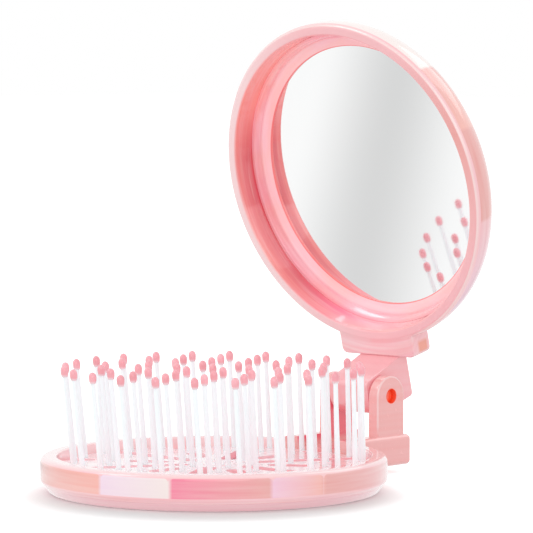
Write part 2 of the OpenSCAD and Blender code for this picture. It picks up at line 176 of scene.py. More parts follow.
class LidSizes(NamedByKey, bpy.types.PropertyGroup):
    """Sizes of the lid, the ring round its mirror and the glass"""

    radius: metres("Radius of the lid", 0.042)
    rim_width: metres("Width of the lid's front rim", 0.003)
    rim_edge: metres("Radius on the rim's outer edge", 0.0012)
    inner_edge: metres("Radius on the rim's inner edge", 0.0006)
    draft: metres("How much the inner wall narrows with depth", 0.0005)
    depth: metres("Depth from the rim to the back", 0.0116)
    back_in: metres("How far the back's rounding runs in", 0.01)
    back_from: metres("Depth at which the back's rounding starts", 0.0025)
    collar_w: metres("Width of the collar that holds the arm", 0.0248)
    collar_front: metres("Depth at which the collar starts", 0.0005)
    collar_t: metres("Depth of the collar", 0.0067)
    collar_corner: metres("Radius on the collar's corners", 0.0016)
    edge: metres("Radius on the collar's moulded edges", 0.0005)
    step_depth: metres("Depth of the ring's first step", 0.006)
    step_t: metres("Thickness of the ring behind its first step", 0.0016)
    ledge_drop: metres("Depth of the ledge below the first step", 0.0019)
    ledge_w: metres("Width of the ledge", 0.0027)
    lip_h: metres("Height of the ring's lip over the glass", 0.0004)
    lip_cover: metres("How far the ring's lip covers the glass", 0.00115)
    foot_w: metres("How far the ring's foot reaches past the glass", 0.001)
    glass_r: metres("Radius of the mirror glass", 0.0353)
    glass_depth: metres("Depth of the glass below the rim", 0.0092)
    glass_t: metres("Thickness of the mirror glass", 0.0011)
    pad_r: metres("Radius of the adhesive pad", 0.034)
    pad_t: metres("Thickness of the adhesive pad", 0.0003)


class ScrewSizes(NamedByKey, bpy.types.PropertyGroup):
    """Sizes of the small cross-slot screws"""

    shank_d: metres("Diameter of a shank", 0.00156)
    head_d: metres("Diameter of a head", 0.0028)
    head_t: metres("Thickness of a head", 0.0008)
    slot_w: metres("Width of the cross slot", 0.00032)
    pitch: metres("Distance from thread to thread", 0.0006)
    sink: metres("How deep the lid's screws lie in the collar", 0.0018)
    spread: metres("Distance of the lid's screws from the middle", 0.0032)
    from_end: metres("Distance of the lid's screws from the collar's end", 0.0027)


class FinishColours(NamedByKey, bpy.types.PropertyGroup):
    """Colours of the mouldings, the glass and the metal"""

    shell: colour("Pink of the shells", 0.967, 0.735, 0.757)
    # Pale pink painted where the shells' rims and upper walls catch the light
    rim: colour("Pale pink of the shells' rims", 0.96, 0.83, 0.835)
    # Painted highlight on the lid rim's outer edge and on the ears' edges
    line: colour("Near white of the lid's outer edge", 0.965, 0.84, 0.835)
    # The next seven colours paint reflections on the shells, and also tint their painted sheen and the lid's
    # painted light
    cream: colour("Warm white painted reflection blocks", 0.95, 0.90, 0.885)
    lilac: colour("Pale lilac painted reflection blocks", 0.945, 0.845, 0.915)
    orchid: colour("Pinker lilac painted reflection blocks", 0.95, 0.76, 0.85)
    blush: colour("Soft pink painted reflection blocks", 0.955, 0.73, 0.745)
    peach: colour("Peach painted reflection blocks", 0.96, 0.69, 0.645)
    hot: colour("Strong pink painted reflection blocks", 0.955, 0.47, 0.60)
    salmon: colour("Salmon painted reflection blocks", 0.91, 0.625, 0.605)
    # Painted shade and painted light inside the lid
    rose: colour("Deep rose inside the lid", 0.82, 0.20, 0.265)
    glow: colour("Coral glow inside the lid", 0.98, 0.565, 0.54)
    bevel: colour("Pale pink of the bottom cover", 0.95, 0.74, 0.775)
    # Painted shade on the floor inside the base
    deep: colour("Deep pink of the floor inside the base", 0.93, 0.43, 0.52)
    # Painted light on the mirror ring's ledge and painted shade at its lip
    ledge: colour("Pale pink of the mirror ring's ledge", 0.985, 0.76, 0.775)
    lip: colour("Coral of the mirror ring's lip", 0.93, 0.45, 0.45)
    # Painted reflection on the collar's side
    orange: colour("Orange sheen on the lid's collar", 0.94, 0.625, 0.55)
    hinge: colour("Salmon pink of the hinge", 0.945, 0.675, 0.665)
    arm: colour("Pink of the lid's arm", 0.96, 0.685, 0.705)
    # Painted shade in the hinge's channel between the ears
    channel: colour("Deep rose inside the hinge's channel", 0.93, 0.42, 0.49)
    bed: colour("Pale pink of the pin bed", 0.98, 0.89, 0.905)
    pin: colour("White of the nylon pins", 0.935, 0.965, 0.975)
    tip: colour("Pink of the ball tips", 0.93, 0.62, 0.655)
    tip_light: colour("Lighter pink of some ball tips", 0.985, 0.71, 0.745)
    coral: colour("Coral of the hinge pin", 0.97, 0.34, 0.20)
    steel: colour("Steel of the screws", 0.76, 0.77, 0.79)
    silver: colour("Silvering of the mirror", 0.985, 0.985, 0.985)
    foam: colour("White of the adhesive pad", 0.86, 0.86, 0.85)


SETTINGS = {"base_sizes": BaseSizes, "pin_sizes": PinSizes, "hinge_sizes": HingeSizes,
            "lid_sizes": LidSizes, "screw_sizes": ScrewSizes, "finish_colours": FinishColours}


def setting(name):
    """One of the property groups on the scene."""
    return getattr(bpy.context.scene, "hairbrush_" + name)


def palette():
    """The colours of all finishes."""
    return setting("finish_colours")


def lid_matrix():
    """The lid's own frame: origin at its rim's centre, Y towards the hinge, Z into its depth."""
    lid = setting("lid_sizes")
    low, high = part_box("mirror_glass")
    to_rim = TILT @ Vector((0, 0, lid.glass_depth + lid.glass_t / 2))
    return Matrix.Translation((low + high) / 2 - to_rim) @ TILT


def rim_at_hinge():
    """Centre of the lid's rim, seen from the hinge axis in the lid's own directions."""
    return AT_HINGE.inverted() @ lid_matrix().to_translation()


# ---------- Outlines and solids ----------


def arc(centre, radius, start, end, steps):
    """Points along an arc, from one angle to another in degrees."""
    turns = [math.radians(start + (end - start) * i / steps) for i in range(steps + 1)]
    return [(centre[0] + radius * math.cos(a), centre[1] + radius * math.sin(a)) for a in turns]


def rounded(corners, steps=5):
    """An outline from (x, y) corners, or (x, y, radius) corners that are rounded by an arc."""
    points = []
    for i, corner in enumerate(corners):
        here = Vector(corner[:2])
        radius = corner[2] if len(corner) > 2 else 0
        back = Vector(corners[i - 1][:2]) - here
        ahead = Vector(corners[(i + 1) % len(corners)][:2]) - here
        angle = back.angle(ahead, 0)
        if not radius or angle > math.radians(179):
            points.append(tuple(here))
            continue
        run = min(radius / math.tan(angle / 2), back.length * 0.49, ahead.length * 0.49)
        radius = run * math.tan(angle / 2)
        middle = here + (back.normalized() + ahead.normalized()).normalized() * (
            radius / math.sin(angle / 2))
        start, end = here + back.normalized() * run - middle, here + ahead.normalized() * run - middle
        sweep = start.angle_signed(end)
        for k in range(steps + 1):
            spoke = start.copy()
            spoke.rotate(Matrix.Rotation(-sweep * k / steps, 2))
            points.append(tuple(middle + spoke))
    return points


def new_object(name, data):
    """Links a new object that holds a mesh, a lamp or a camera."""
    thing = bpy.data.objects.new(name, data)
    bpy.context.scene.collection.objects.link(thing)
    return thing


def from_bmesh(name, shape, place=None):
    """An object from a bmesh, with its faces pointing outwards, moved to its place."""
    bmesh.ops.remove_doubles(shape, verts=shape.verts, dist=WELD)
    bmesh.ops.recalc_face_normals(shape, faces=shape.faces)
    mesh = bpy.data.meshes.new(name)
    shape.to_mesh(mesh)
    shape.free()
    if place:
        mesh.transform(place)
    return new_object(name, mesh)


def join_flat(shape):
    """Joins the triangles of a bmesh that lie in one plane."""
    bmesh.ops.dissolve_limit(shape, angle_limit=math.radians(0.5), verts=shape.verts, edges=shape.edges)


def welded(node):
    """A bmesh of a CAD node, with its loose triangles joined at their corners."""
    shape = bmesh.new()
    shape.from_mesh(frame["nodes"][node].data)
    bmesh.ops.remove_doubles(shape, verts=shape.verts, dist=CAD_WELD)
    return shape


def lathe(name, outline, segments=288, place=None):
    """Turns a closed (radius, height) outline about Z; points on the axis become poles."""
    shape = bmesh.new()
    rings = []
    turns = [2 * math.pi * i / segments for i in range(segments)]
    for radius, height in outline:
        if radius < WELD:
            rings.append([shape.verts.new((0, 0, height))] * segments)
        else:
            rings.append([shape.verts.new((radius * math.cos(a), radius * math.sin(a), height))
                          for a in turns])
    for lower, upper in zip(rings, rings[1:] + rings[:1]):
        for i in range(segments):
            k = (i + 1) % segments
            corners = list(dict.fromkeys([lower[i], lower[k], upper[k], upper[i]]))
            if len(corners) > 2:
                shape.faces.new(corners)
    return from_bmesh(name, shape, place)


def prism(name, outline, low, high, place=None):
    """A solid with the outline in its XY plane, from low to high along Z, moved to its place."""
    shape = bmesh.new()
    floor, roof = ([shape.verts.new((x, y, level)) for x, y in outline] for level in (low, high))
    shape.faces.new(floor)
    shape.faces.new(roof)
    for i in range(len(outline)):
        k = (i + 1) % len(outline)
        shape.faces.new((floor[i], floor[k], roof[k], roof[i]))
    return from_bmesh(name, shape, place)


def block(name, low, high):
    """A box between two corners, as a cutter."""
    corners = [(low[0], low[1]), (high[0], low[1]), (high[0], high[1]), (low[0], high[1])]
    return prism(name, corners, low[2], high[2])


def rod(name, radius, low, high, place=None, segments=64):
    """A round cutter along Z, moved to its place."""
    return lathe(name, [(0, low), (radius, low), (radius, high), (0, high)], segments, place)


def pebble(name, balls, segments=32):
    """The smallest solid that holds all the balls, given as (x, y, z, radius)."""
    shape = bmesh.new()
    for x, y, z, radius in balls:
        for k in range(segments // 2 + 1):
            polar = 2 * math.pi * k / segments
            around = segments if 0 < k < segments // 2 else 1
            for i in range(around):
                turn = 2 * math.pi * i / segments
                shape.verts.new((x + radius * math.sin(polar) * math.cos(turn),
                                 y + radius * math.sin(polar) * math.sin(turn), z + radius * math.cos(polar)))
    made = bmesh.ops.convex_hull(shape, input=shape.verts)
    inner = {v for v in made["geom_interior"] + made["geom_unused"] if isinstance(v, bmesh.types.BMVert)}
    bmesh.ops.delete(shape, geom=list(inner), context="VERTS")
    join_flat(shape)
    return from_bmesh(name, shape)


def settle(piece):
    """Turns what the modifiers make into the piece's own plain mesh."""
    graph = bpy.context.evaluated_depsgraph_get()
    made = bpy.data.meshes.new_from_object(piece.evaluated_get(graph), preserve_all_data_layers=True,
                                           depsgraph=graph)
    piece.modifiers.clear()
    old, piece.data = piece.data, made
    made.name = piece.name
    bpy.data.meshes.remove(old)
    return piece


def modify(piece, kind, **values):
    """Puts a modifier on a piece and settles it."""
    step = piece.modifiers.new(kind.title(), kind)
    for name, value in values.items():
        setattr(step, name, value)
    return settle(piece)


def carve(piece, *tools, operation="DIFFERENCE"):
    """Cuts the tools out of a piece, or joins them to it, and removes them."""
    for tool in tools:
        modify(piece, "BOOLEAN", operation=operation, solver="EXACT", object=tool)
        bpy.data.objects.remove(tool)
    return piece


def soften(piece, width, angle=40, segments=3):
    """Rounds the edges that are sharper than an angle."""
    return modify(piece, "BEVEL", width=width, segments=segments, limit_method="ANGLE",
                  angle_limit=math.radians(angle), miter_outer="MITER_ARC", use_clamp_overlap=True)


def smooth(piece, angle=30):
    """Smooth shading with edges sharper than an angle kept, weighted by the faces' areas."""
    piece.data.shade_smooth()
    piece.data.set_sharp_from_angle(angle=math.radians(angle))
    return modify(piece, "WEIGHTED_NORMAL", keep_sharp=True, weight=100)


def complete(piece, body, slot, material, *nodes):
    """Dresses a finished piece and lets it ride on its body in place of its CAD nodes."""
    piece.data.materials.clear()
    piece.data.materials.append(material)
    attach(piece, body)
    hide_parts(*nodes)


# ---------- Nodes ----------


class Wire:
    """An output socket that adds and multiplies as a number does, through Math nodes"""

    def __init__(self, socket):
        self.socket = socket
        self.tree = socket.id_data

    def math(self, operation, *others, clamp=False):
        """A Math node on this wire and others."""
        return fed_node(self.tree, "ShaderNodeMath", (self, *others), operation=operation, use_clamp=clamp)

    def __add__(self, other):
        return self.math("ADD", other)

    def __sub__(self, other):
        return self.math("SUBTRACT", other)

    def __mul__(self, other):
        return self.math("MULTIPLY", other)

    def __truediv__(self, other):
        return self.math("DIVIDE", other)

    def __pow__(self, other):
        return self.math("POWER", other)

    def __abs__(self):
        return self.math("ABSOLUTE")

    def fade(self, start, end):
        """A mask that goes from 0 at start to 1 at end."""
        return (self - start).math("DIVIDE", end - start, clamp=True)


def feed(socket, value):
    """Links a wire into a socket, or sets the socket's own value."""
    if isinstance(value, Wire):
        value.tree.links.new(value.socket, socket)
    else:
        socket.default_value = (*value, 1) if socket.type == "RGBA" else value


def set_node(node, **values):
    """Sets a node's options, which are in small letters, and feeds its inputs by name."""
    for name, value in values.items():
        if name[0].islower():
            setattr(node, name, value)
        else:
            feed(node.inputs[name.replace("_", " ")], value)
    return node


def add_node(tree, kind, output=0, **values):
    """A new node, as the wire of one of its outputs."""
    return Wire(set_node(tree.nodes.new(kind), **values).outputs[output])


def fed_node(tree, kind, inputs, output=0, places=range(3), **values):
    """A new node with its inputs fed by their places, as the wire of one of its outputs."""
    node = set_node(tree.nodes.new(kind), **values)
    for place, value in zip(places, inputs):
        feed(node.inputs[place], value)
    return Wire(node.outputs[output])


def mix(factor, first, second, blend="MIX"):
    """A colour Mix node fed by colours or wires."""
    tree = next(value.tree for value in (factor, first, second) if isinstance(value, Wire))
    return fed_node(tree, "ShaderNodeMix", (factor, first, second), output=2, places=(0, 6, 7),
                    data_type="RGBA", blend_type=blend)


def vector_math(operation, *vectors, output="Vector", **values):
    """A Vector Math node on wires or fixed vectors."""
    return fed_node(vectors[0].tree, "ShaderNodeVectorMath", vectors, output, operation=operation, **values)


def axes(vector):
    """The X, Y and Z of a vector."""
    split = set_node(vector.tree.nodes.new("ShaderNodeSeparateXYZ"), Vector=vector)
    return [Wire(socket) for socket in split.outputs]


def length(x, y):
    """Square root of the sum of two squares."""
    return (x ** 2 + y ** 2).math("SQRT")


def noise(vector, **values):
    """A noise texture on a vector."""
    return add_node(vector.tree, "ShaderNodeTexNoise", "Fac", Vector=vector, **values)


def object_vector(tree, turned=None):
    """Object coordinates, or those turned into a piece's own frame."""
    vector = add_node(tree, "ShaderNodeTexCoord", "Object")
    if turned is None:
        return vector
    return add_node(tree, "ShaderNodeMapping", vector_type="TEXTURE", Vector=vector,
                    Location=turned.to_translation(), Rotation=turned.to_euler())


def turn_round(vector):
    """Share of a turn round the Z axis, the distance from it and the height."""
    x, y, z = axes(vector)
    turn = (y.math("ARCTAN2", x) * (1 / (2 * math.pi)) + 0.5).math("FRACT")
    return turn, length(x, y), z


def turn_ramp(turn, stops):
    """A colour ramp over one turn, from (share of a turn, colour) stops."""
    node = set_node(turn.tree.nodes.new("ShaderNodeValToRGB"), Fac=turn)
    elements = node.color_ramp.elements
    elements.remove(elements[1])
    for i, (place, tone) in enumerate(stops):
        stop = elements.new(place) if i else elements[0]
        stop.position = place
        stop.color = (*tone, 1)
    return Wire(node.outputs["Color"])


# ---------- Shader node groups ----------


def open_group(name, **inputs):
    """A shader node group that takes a vector and the named values; returns it and its inputs."""
    tree = bpy.data.node_groups.new(name, "ShaderNodeTree")
    tree.interface.new_socket("Vector", in_out="INPUT", socket_type="NodeSocketVector")
    for label, value in inputs.items():
        socket = tree.interface.new_socket(label, in_out="INPUT", socket_type="NodeSocketFloat")
        socket.default_value = value
    entry = tree.nodes.new("NodeGroupInput")
    return tree, {label: Wire(entry.outputs[label]) for label in ("Vector", *inputs)}


def close_group(tree, **outputs):
    """Ends a group in outputs of the wires' own kinds."""
    kinds = {"VALUE": "NodeSocketFloat", "RGBA": "NodeSocketColor", "VECTOR": "NodeSocketVector"}
    for label, wire in outputs.items():
        tree.interface.new_socket(label, in_out="OUTPUT", socket_type=kinds[wire.socket.type])
    set_node(tree.nodes.new("NodeGroupOutput"), **outputs)
    return tree


# Colour blocks painted round each shell's axis as reflections of bright softboxes: the angle in degrees at
# which a block starts, and the colours at its start and its end.
BASE_REFLECTION_BLOCKS = (
    (-180, "cream", "peach"), (-141, "salmon", "peach"), (-84.9, "lilac", "cream"), (-60.2, "hot", "salmon"),
    (-27, "orchid", "peach"), (-8.4, "salmon", "blush"), (38, "cream", "lilac"), (67, "hot", "peach"),
    (112, "lilac", "cream"), (150, "peach", "salmon"))
LID_REFLECTION_BLOCKS = (
    (-180, "blush", "peach"), (-128, "rim", "cream"), (-84, "cream", "cream"), (-46, "salmon", "peach"),
    (-20, "salmon", "salmon"), (12, "blush", "orchid"), (52, "shell", "shell"), (128, "cream", "lilac"),
    (155, "peach", "blush"))

# Painted light and shade of the lid's inside and of its rim round its axis; the side that faces the hinge is
# at 90 degrees.
LID_LIGHT_AND_SHADE = ((-180, "rose"), (-172, "rose"), (-150, "glow"), (-115, "glow"), (-90, "hot"), (20, "blush"),
        (80, "blush"), (112, "hot"), (135, "rose"), (180, "rose"))
RIM_LIGHT_TONES = ((-180, "rim"), (-140, "rim"), (-100, "blush"), (-60, "blush"), (-20, "salmon"), (30, "blush"),
             (90, "shell"), (135, "rim"), (180, "rim"))

BLACK, WHITE = (0, 0, 0), (1, 1, 1)
BLOCK_GAP = 0.0002


def share(degrees):
    """Share of a turn that a ramp gives to an angle."""
    return (degrees + 180) / 360


def painted_reflection_blocks(name, blocks):
    """Group: painted reflections, as sharp-sided colour blocks with rounded tops on a band round the Z axis.
    """
    tree, take = open_group(name, Radius=0.04, Low=0.0, High=0.01, Corner=0.0012, Soft=0.0002)
    turn, _, height = turn_round(take["Vector"])
    starts = [share(angle) for angle, _, _ in blocks] + [1.0]
    tones, edges = [], []
    for begin, end, (_, first, last) in zip(starts, starts[1:], blocks):
        tones += [(begin, getattr(palette(), first)), (end - BLOCK_GAP, getattr(palette(), last))]
        edges += [(begin, BLACK), ((begin + end) / 2, ((end - begin) / 2,) * 3)]
    along = turn_ramp(turn, edges + [(1.0, BLACK)]) * (2 * math.pi) * take["Radius"]
    side = (take["Corner"] - along).math("MAXIMUM", 0)
    rise = (take["Corner"] - (take["High"] - height)).math("MAXIMUM", 0)
    inside = (take["Corner"] - length(side, rise)).math("MINIMUM", height - take["Low"])
    mask = inside.math("DIVIDE", take["Soft"], clamp=True)
    return close_group(tree, Color=turn_ramp(turn, tones), Mask=mask)


def lid_light_and_shade():
    """Group: the painted light and shade of the lid's inside and rim, which change round its axis."""
    tree, take = open_group("Lid glow")
    turn, radius, _ = turn_round(take["Vector"])
    inside, rim = (turn_ramp(turn, [(share(angle), getattr(palette(), tone)) for angle, tone in tones])
                   for tones in (LID_LIGHT_AND_SHADE, RIM_LIGHT_TONES))
    return close_group(tree, Color=inside, Rim=rim, Radius=radius)


def painted_highlight_streaks():
    """Group: painted highlights, as long pale streaks that run round the Z axis."""
    tree, take = open_group("Pearl streaks", Scale=900.0, Length=1.6, Outward=1.0, Sharp=3.0)
    x, y, z = axes(take["Vector"])
    radius = length(x, y)
    across = (radius * take["Outward"] + z) * take["Scale"]
    flow = fed_node(tree, "ShaderNodeCombineXYZ",
                    (x * take["Length"] / radius, y * take["Length"] / radius, across))
    calm = radius.fade(0.004, BASE_R)
    centred = (noise(flow, Scale=1.0, Detail=3.0) - 0.5) * calm
    return close_group(tree, Streak=(centred * take["Sharp"]).math("ADD", 0.5, clamp=True))


def moulded_ripple():
    """Group: the faint waviness of a moulded gloss surface, as a normal and a roughness."""
    tree, take = open_group("Moulded ripple", Scale=160.0, Strength=0.12, Roughness=0.25)
    bump = add_node(tree, "ShaderNodeBump", "Normal", Distance=0.0002, Strength=take["Strength"],
                    Height=noise(take["Vector"], Scale=take["Scale"], Detail=1.5))
    spread = noise(take["Vector"], Scale=900.0) * 0.08 - 0.04
    return close_group(tree, Normal=bump, Roughness=spread.math("ADD", take["Roughness"], clamp=True))


def use_group(name, build, vector, **values):
    """Places a shared group on a vector, building it the first time; returns its outputs."""
    node = vector.tree.nodes.new("ShaderNodeGroup")
    node.node_tree = bpy.data.node_groups.get(name) or build()
    return [Wire(socket) for socket in set_node(node, Vector=vector, **values).outputs]


def streaks(vector, **values):
    """The shared painted highlight streaks on a vector, as a value from 0 to 1."""
    return use_group("Pearl streaks", painted_highlight_streaks, vector, **values)[0]


# ---------- Finishes ----------

# Heights in the base over which its finish changes: to the rim's painted highlight, from the floor's painted
# shade to the wall's paler pink, and from the outside's to the inside's, which has a stronger painted glow.
BASE_RIM = (BASE_H - 0.0009, BASE_H - 0.0003)
BASE_WALL = (BED_FOOT + 0.0002, BED_FOOT + 0.0012)
BASE_INSIDE = (0.003, 0.0035)

# Depths under the lid's rim over which its finish changes: the painted orange sheen on the collar's side at
# both ends, the rim's face with its painted light, the painted glow near the rim and the foot of the wall.
ORANGE_SHEEN_FROM, ORANGE_SHEEN_TO = (0.0022, 0.0030), (0.0064, 0.0056)
RIM_FACE, NEAR_RIM, WALL_FOOT = (0.0007, 0.0003), (0.0042, 0.0012), (0.0104, 0.0102)

# Where the painted highlight line on the rim's outer edge ends at the collar, along the lid's Y.
LINE_END = (0.041, 0.037)

# Heights over the hinge axis at which the ears' painted edge highlights and the channel's painted shade
# start.
EDGE_HIGHLIGHT_FROM, CHANNEL_SHADE_FROM = (-0.0095, -0.0075), (-0.0122, -0.0108)


def new_material(name, **inputs):
    """A material with its shader's inputs fed, its object coordinates and its shader."""
    material = bpy.data.materials.new(name)
    material.use_nodes = True
    tree = material.node_tree
    return material, object_vector(tree), set_node(tree.nodes["Principled BSDF"], **inputs)


def gloss(name, roughness=0.25, coat=1.0, coat_roughness=0.06, ripple=0.06, scale=160.0, subsurface=0.0,
          shine=0.1):
    """A glossy moulded plastic with a painted glow of its own colour, as if light came through it; returns it
    with its coordinates and shader.
    """
    material, vector, shader = new_material(
        name, Coat_Weight=coat, Coat_Roughness=coat_roughness, Subsurface_Weight=subsurface,
        Subsurface_Scale=0.002, Subsurface_Radius=(1.0, 0.45, 0.45), Emission_Strength=shine)
    normal, rough = use_group("Moulded ripple", moulded_ripple, vector, Scale=scale, Strength=ripple,
                              Roughness=roughness)
    set_node(shader, Normal=normal, Coat_Normal=normal, Roughness=rough)
    return material, vector, shader


def paint(shader, tint, mask=None, times=1.0):
    """Feeds a tint to a shader's colour and, as a painted glow, to its emission colour, which a mask can make
    stronger.
    """
    lit = tint if mask is None else mix(1.0, tint, mix(mask, WHITE, (times,) * 3), "MULTIPLY")
    set_node(shader, Base_Color=tint, Emission_Color=lit)


def plain_gloss(name, base, streaky, streak_to, outward=0.0, **surface):
    """A glossy plastic of one pink with faint painted highlight streaks."""
    material, vector, shader = gloss(name, **surface)
    paint(shader, mix(streaks(vector, Outward=outward) * streaky, base, streak_to))
    return material


def painted_sheen(vector, tint, amount):
    """Painted sheen: a tint with long streaks in it that lean to peach and to orchid."""
    lean = streaks(vector, Scale=520.0, Length=2.4, Sharp=5.0)
    return mix(amount, tint, mix(lean, palette().peach, palette().orchid))


def shell_with_painted_reflections(vector, name, blocks, radius, low, high):
    """Shell pink with painted highlight streaks and painted sheen, and the colour blocks of painted
    reflections on a shell's side band over it.
    """
    shade, mask = use_group(name, lambda: painted_reflection_blocks(name, blocks), vector, Radius=radius, Low=low,
                            High=high)
    streak = streaks(vector)
    # Painted highlight streaks pale the shell pink, and pale the blocks towards near white
    pale = mix(streak * 0.35, painted_sheen(vector, palette().shell, 0.15), srgb(0.985, 0.84, 0.845))
    return mix(streak * 0.22, mix(mask, pale, shade), srgb(0.99, 0.93, 0.92)), streak


def base_pearl_painted_light(inner_r, low):
    """The base's finish: painted reflections outside, a painted highlight on the rim, and inside a painted
    shade of deep pink on the floor that pales up the wall, with a stronger painted glow.
    """
    material, vector, shader = gloss("pearl_base", roughness=0.22)
    outside, _ = shell_with_painted_reflections(vector, "Pearl blocks base", BASE_REFLECTION_BLOCKS, BASE_R, low, BASE_H - 0.0008)
    _, distance, height = turn_round(vector)
    with_rim_highlight = mix(height.fade(*BASE_RIM), outside, palette().rim)
    inside = distance.fade(inner_r + 0.0004, inner_r + 0.0001) * height.fade(*BASE_INSIDE)
    wall = mix(height.fade(*BASE_WALL), palette().deep, palette().rim)
    # Painted shade deepens the inside towards the floor, and the inside glows 1.9 times as strongly
    paint(shader, mix(inside, with_rim_highlight, wall), inside, times=1.9)
    return material


def lid_pearl_painted_light(size, inner_r, collar_end):
    """The lid's finish: painted reflections outside, painted light and a painted highlight line on the rim, a
    wall with painted light, shade, highlight streaks and a stronger painted glow, and a painted orange sheen
    on the collar side.
    """
    material, vector, shader = gloss("pearl_lid", roughness=0.22)
    vector = object_vector(vector.tree, lid_matrix())
    outside, streak = shell_with_painted_reflections(vector, "Pearl blocks lid", LID_REFLECTION_BLOCKS, size.radius, size.rim_edge * 0.8,
                                  size.back_from + 0.0065)
    x, y, z = axes(vector)
    # Painted orange sheen on the collar's side
    side = abs(x).fade(size.collar_w / 2 - 0.0004, size.collar_w / 2 - 0.0001)
    low_end = y.fade(size.radius - 0.0005, size.radius + 0.0005)
    far_end = y.fade(collar_end - 0.0004, collar_end - 0.0012)
    depth = z.fade(*ORANGE_SHEEN_FROM) * z.fade(*ORANGE_SHEEN_TO)
    with_orange_sheen = mix(side * depth * (low_end * far_end), outside, palette().orange)
    glow, rim_light, radius = use_group("Lid glow", lid_light_and_shade, vector)
    # Painted light on the rim's face, and a painted highlight line along its outer edge
    rim = z.fade(*RIM_FACE) * radius.fade(size.radius + 0.0004, size.radius)
    edge = radius.fade(size.radius - 0.0008, size.radius - 0.0006) * y.fade(*LINE_END)
    with_rim_highlight = mix(rim, with_orange_sheen, mix(edge, rim_light, palette().line))
    # Painted light near the rim, painted highlight streaks on the wall and a painted glow inside
    lit_near_rim = mix(z.fade(*NEAR_RIM) * 0.5, glow, palette().glow)
    wall = mix(streak ** 3 * 0.4, painted_sheen(vector, lit_near_rim, 0.07), srgb(0.99, 0.80, 0.78))
    inside = radius.fade(inner_r + 0.0005, inner_r) * z.fade(*WALL_FOOT)
    paint(shader, mix(inside, with_rim_highlight, wall), inside, times=1.7)
    return material


def ring_pearl_painted_light(step_r, lip_r):
    """The mirror ring's finish: the lid's painted light and shade, a ledge painted paler where it catches the
    light, painted highlight streaks and sheen, and a coral lip painted as the shade next to the glass.
    """
    material, vector, shader = gloss("ring_pink", roughness=0.2, shine=0.2)
    vector = object_vector(vector.tree, lid_matrix())
    glow, _, radius = use_group("Lid glow", lid_light_and_shade, vector)
    ledge = radius.fade(step_r, step_r - 0.0006) * 0.85
    stepped = mix(ledge, mix(0.4, glow, srgb(0.97, 0.57, 0.62)), palette().ledge)
    lined = mix(streaks(vector) * 0.4, painted_sheen(vector, stepped, 0.3), srgb(0.99, 0.87, 0.87))
    paint(shader, mix(radius.fade(lip_r + 0.0003, lip_r + 0.00015), lined, palette().lip))
    return material


def bed_pearl():
    """The bed's finish: pale and a little translucent, pinker to the right."""
    material, vector, shader = gloss("pale_bed", roughness=0.3, ripple=0.3, scale=420.0, subsurface=0.25)
    # Painted highlight streaks pale the bed towards near white
    pale = mix(streaks(vector, Scale=700.0) * 0.5, palette().bed, srgb(0.99, 0.95, 0.955))
    right = axes(vector)[0].fade(-0.01, 0.03) * 0.9
    paint(shader, mix(right, pale, palette().shell))
    return material


def white_nylon():
    """White nylon that lets a little light through, with a painted glow, and cooler towards its root to
    offset the pink light that bounces onto it there.
    """
    material, vector, shader = gloss("white_nylon", roughness=0.38, coat=0.3, coat_roughness=0.2,
                                     ripple=0.03, scale=500.0, subsurface=0.15, shine=0.17)
    set_node(shader, Subsurface_Radius=(1.0, 0.8, 0.9))
    height = axes(vector)[2].fade(BED_TOP, BED_TOP + 0.012)
    paint(shader, mix(height, srgb(0.93, 0.955, 0.965), palette().pin))
    return material


def pink_resin(size):
    """Pink resin that thins out to pale where it runs down the pin."""
    material, vector, shader = gloss("pink_resin", roughness=0.3, coat=0.8, coat_roughness=0.08,
                                     ripple=0.04, scale=700.0, subsurface=0.15)
    middle = BED_TOP + size.height
    tail = axes(vector)[2].fade(middle - size.tip_low * 0.55, middle - size.tip_low)
    mottle = noise(vector, Scale=260.0).fade(0.35, 0.7)
    paint(shader, mix(tail * 0.75, mix(mottle, palette().tip, palette().tip_light), palette().pin))
    return material


def salmon_hinge(size, ears, channel):
    """Salmon gloss with painted highlight streaks, painted highlights on the ears' edges, painted shade of
    deep rose in the channel and a coral bore.
    """
    material, vector, shader = gloss("salmon_hinge", roughness=0.26)
    salmon = mix(streaks(vector, Outward=0.0) * 0.16, palette().hinge, palette().rim)
    x, y, z = axes(vector_math("SUBTRACT", vector, HINGE))
    reach = length(y, z.math("MAXIMUM", 0))
    # Painted highlight on the ears' rounded edges
    edge = reach.fade(size.ear_r - 0.00055, size.ear_r - 0.0002) * abs(x).fade(ears - 0.0006, ears - 0.0002)
    edge_highlighted = mix(edge * z.fade(*EDGE_HIGHLIGHT_FROM), salmon, palette().line)
    # Painted shade of deep rose in the channel between the ears
    between = abs(x).fade(channel + 0.0004, channel + 0.0001) * z.fade(*CHANNEL_SHADE_FROM)
    bore = length(y, z).fade(size.bore_d / 2 + 0.00025, size.bore_d / 2 + 0.0001)
    paint(shader, mix(bore, mix(between, edge_highlighted, palette().channel), palette().coral))
    return material


def silvered_glass():
    """Silvered glass, with the faint tint that a thick pane has."""
    material, vector, shader = new_material("silvered_glass", Metallic=1.0)
    cloud = noise(vector, Scale=40.0)
    set_node(shader, Base_Color=mix(cloud, palette().silver, srgb(0.975, 0.98, 0.98)),
             Roughness=cloud * 0.01 + 0.03)
    return material


def adhesive_foam():
    """Matte white adhesive foam."""
    material, vector, shader = new_material("adhesive_foam", Roughness=0.9)
    cells = add_node(vector.tree, "ShaderNodeTexVoronoi", "Distance", Scale=2500.0, Vector=vector)
    set_node(shader, Base_Color=mix(cells.math("MULTIPLY", 0.3, clamp=True), palette().foam, (0.5, 0.5, 0.5)))
    return material


